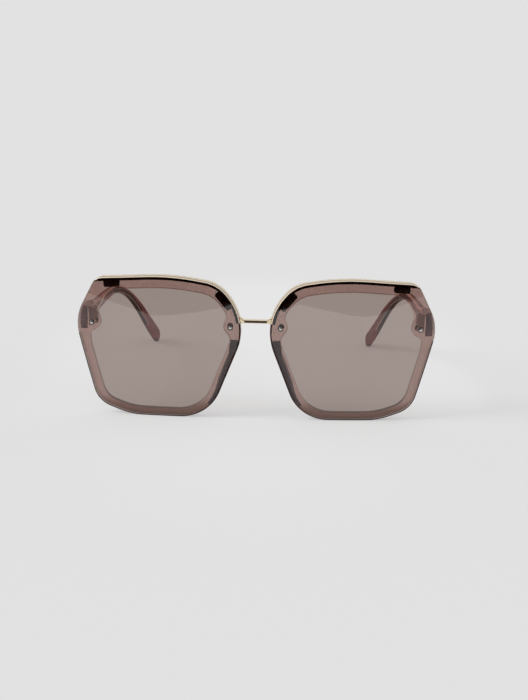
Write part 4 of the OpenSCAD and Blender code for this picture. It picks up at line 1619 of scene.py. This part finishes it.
class SUNGLASSES_OT_studio(Operator):
    """Sets up the pale floor, the soft light, the dark card and the camera"""

    bl_idname = "sunglasses.studio"
    bl_label = "Studio"
    bl_options = {"REGISTER", "UNDO"}

    def execute(self, context):
        s = settings().studio
        scene = context.scene
        scene.view_settings.view_transform = "Standard"
        self.camera(scene, s)
        self.world(scene, s)
        self.key_lamp(scene, s)
        self.floor(s)
        self.dark_card()
        return {"FINISHED"}

    def camera(self, scene, s):
        """The camera that was fitted to the photo."""
        data = bpy.data.cameras.new("photo_camera")
        data.sensor_width = SENSOR
        data.lens = SENSOR * FOCAL_PIXELS / PICTURE_HEIGHT
        camera = bpy.data.objects.new("photo_camera", data)
        camera.location = (s.camera_side, -s.camera_distance - middle_depth(), s.camera_height)
        turn = Matrix.Rotation(s.camera_yaw, 4, "Z")
        look = Matrix.Rotation(math.pi / 2 - s.camera_pitch, 4, "X")
        lean = Matrix.Rotation(s.camera_roll, 4, "Z")
        camera.rotation_euler = (turn @ look @ lean).to_euler()
        scene.collection.objects.link(camera)
        scene.camera = camera

    def world(self, scene, s):
        """Soft light from all round, and the backdrop's own tone where it is looked at."""
        world = bpy.data.worlds.new("studio_world")
        scene.world = world
        world.use_nodes = True
        nodes = world.node_tree.nodes
        links = world.node_tree.links
        nodes.clear()
        soft = nodes.new("ShaderNodeBackground")
        soft.inputs["Color"].default_value = (1.0, 1.0, 1.0, 1.0)
        soft.inputs["Strength"].default_value = s.sky
        seen = nodes.new("ShaderNodeBackground")
        seen.inputs["Color"].default_value = (s.floor, s.floor, s.floor, 1.0)
        mix = nodes.new("ShaderNodeMixShader")
        links.new(looked_at(world.node_tree), mix.inputs[0])
        links.new(soft.outputs[0], mix.inputs[1])
        links.new(seen.outputs[0], mix.inputs[2])
        output = nodes.new("ShaderNodeOutputWorld")
        links.new(mix.outputs[0], output.inputs[0])

    def key_lamp(self, scene, s):
        """A large soft lamp on the left."""
        elevation = math.radians(KEY_ELEVATION)
        azimuth = math.radians(KEY_AZIMUTH)
        data = bpy.data.lights.new("key_lamp", "SUN")
        # A sun of strength pi over the sine of its height lights a white floor to 1
        data.energy = s.key * math.pi / math.sin(elevation)
        data.angle = math.radians(KEY_SPREAD)
        lamp = bpy.data.objects.new("key_lamp", data)
        toward = Vector((
            math.cos(elevation) * math.cos(azimuth),
            math.cos(elevation) * math.sin(azimuth),
            -math.sin(elevation),
        ))
        lamp.rotation_euler = toward.to_track_quat("-Z", "Y").to_euler()
        scene.collection.objects.link(lamp)

    def floor(self, s):
        """A pale floor whose shadows are soft, with a painted pool of light that makes it a little brighter
        right round the object.
        """
        f = Finish("pale_floor")
        grain = f.noise(700.0, 3.0)
        tone = (s.floor, s.floor, s.floor)
        paper = f.add(
            "ShaderNodeBsdfPrincipled",
            Base_Color=f.blend(grain, scaled(tone, 0.995), tone),
            Roughness=0.95,
            Specular_IOR_Level=0.0,
        )
        spot = f.add(
            "ShaderNodeMapping",
            Vector=f.place,
            Location=(0.0, -POOL_Y / POOL_LONG, 0.0),
            Scale=(1 / POOL_WIDE, 1 / POOL_LONG, 1.0),
        )
        away = f.add("ShaderNodeVectorMath", Vector=spot.outputs[0])
        away.operation = "LENGTH"
        painted_pool = f.ramp(away.outputs["Value"], 0.45, 1.0, s.pool, 0.0, "SMOOTHERSTEP")
        glow = f.add("ShaderNodeEmission", Color=tone, Strength=f.math("ADD", 1.0, painted_pool))
        seen = looked_at(f.material.node_tree)
        lifted = f.mix(f.math("MULTIPLY", seen, s.shadow_lift), paper, glow)
        material = f.done(lifted)
        reach = 12.0
        level = -SEAT_GAP
        corners = [(x * reach, y * reach, level) for x, y in ((-1, -1), (1, -1), (1, 1), (-1, 1))]
        self.sheet("floor", corners, [(0, 1, 2, 3)], material)

    def sheet(self, name, points, faces, material):
        """A flat stage piece."""
        mesh = bpy.data.meshes.new(name)
        mesh.from_pydata(points, [], faces)
        mesh.materials.append(material)
        piece = bpy.data.objects.new(name, mesh)
        bpy.context.scene.collection.objects.link(piece)
        return piece

    def dark_card(self):
        """A black card in front with a scalloped lower edge, seen only in mirrored light."""
        f = Finish("dark_card")
        material = f.done(f.add("ShaderNodeBsdfDiffuse", Color=(0.004, 0.004, 0.004)))
        low = [(x * MM, CARD_Y, z * MM) for x, z in CARD_EDGE]
        high = [(x, y, 1.2) for x, y, _ in low]
        count = len(low)
        faces = [(i, i + 1, count + i + 1, count + i) for i in range(count - 1)]
        card = self.sheet("dark_card", low + high, faces, material)
        card.visible_camera = False
        card.visible_diffuse = False
        card.visible_transmission = False
        card.visible_volume_scatter = False
        card.visible_shadow = False


class SUNGLASSES_OT_kept_nodes(Operator):
    """Gives the CAD nodes that keep their shape their finished materials"""

    bl_idname = "sunglasses.kept_nodes"
    bl_label = "Kept Nodes"
    bl_options = {"REGISTER", "UNDO"}

    def execute(self, context):
        kinds = {
            "lug_screws": "steel",
            "hinge_leaf": "leaf",
            "hinge_rivets": "steel",
            "hinge_screw": "steel",
        }
        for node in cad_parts:
            kind = next((k for k in kinds if node.startswith(k)), None)
            if kind:
                piece = repaint(node, finish(kinds[kind]))
                piece.data.set_sharp_from_angle(angle=math.radians(30))
                for face in piece.data.polygons:
                    face.use_smooth = True
                # A small rounding catches the light along each edge
                bevel = piece.modifiers.new("edge_round", "BEVEL")
                bevel.width = 0.06 * MM
                bevel.segments = 2
                bevel.limit_method = "ANGLE"
                bevel.angle_limit = math.radians(40)
        return {"FINISHED"}


class SUNGLASSES_PT_sidebar(Panel):
    """Lists the pieces and their sizes"""

    bl_idname = "SUNGLASSES_PT_sidebar"
    bl_label = "Sunglasses"
    bl_space_type = "VIEW_3D"
    bl_region_type = "UI"
    bl_category = "Sunglasses"

    def draw(self, context):
        layout = self.layout
        for step in STEPS:
            layout.operator(step.bl_idname)
        for group in Sunglasses.__annotations__:
            box = layout.box()
            values = getattr(context.scene.sunglasses, group)
            for name in type(values).__annotations__:
                box.prop(values, name)


GROUPS = (
    LensSizes,
    RimSizes,
    BarSizes,
    FastenerSizes,
    PadSizes,
    TempleSizes,
    Finishes,
    Studio,
    Sunglasses,
)
STEPS = (
    SUNGLASSES_OT_studio,
    SUNGLASSES_OT_lens_plates,
    SUNGLASSES_OT_rims,
    SUNGLASSES_OT_brow_bars,
    SUNGLASSES_OT_bridge,
    SUNGLASSES_OT_lugs,
    SUNGLASSES_OT_lens_rivets,
    SUNGLASSES_OT_nose_pads,
    SUNGLASSES_OT_temples,
    SUNGLASSES_OT_kept_nodes,
)


def register():
    """Registers every class and gives the scene its settings."""
    for cls in (*GROUPS, *STEPS, SUNGLASSES_PT_sidebar):
        bpy.utils.register_class(cls)
    bpy.types.Scene.sunglasses = PointerProperty(type=Sunglasses)


def unregister():
    """Takes the settings and the classes out again."""
    del bpy.types.Scene.sunglasses
    for cls in (SUNGLASSES_PT_sidebar, *reversed(STEPS), *reversed(GROUPS)):
        bpy.utils.unregister_class(cls)


def main():
    """Registers the add-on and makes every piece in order."""
    register()
    for step in STEPS:
        group, name = step.bl_idname.split(".")
        getattr(getattr(bpy.ops, group), name)()


if __name__ == "__main__":
    main()
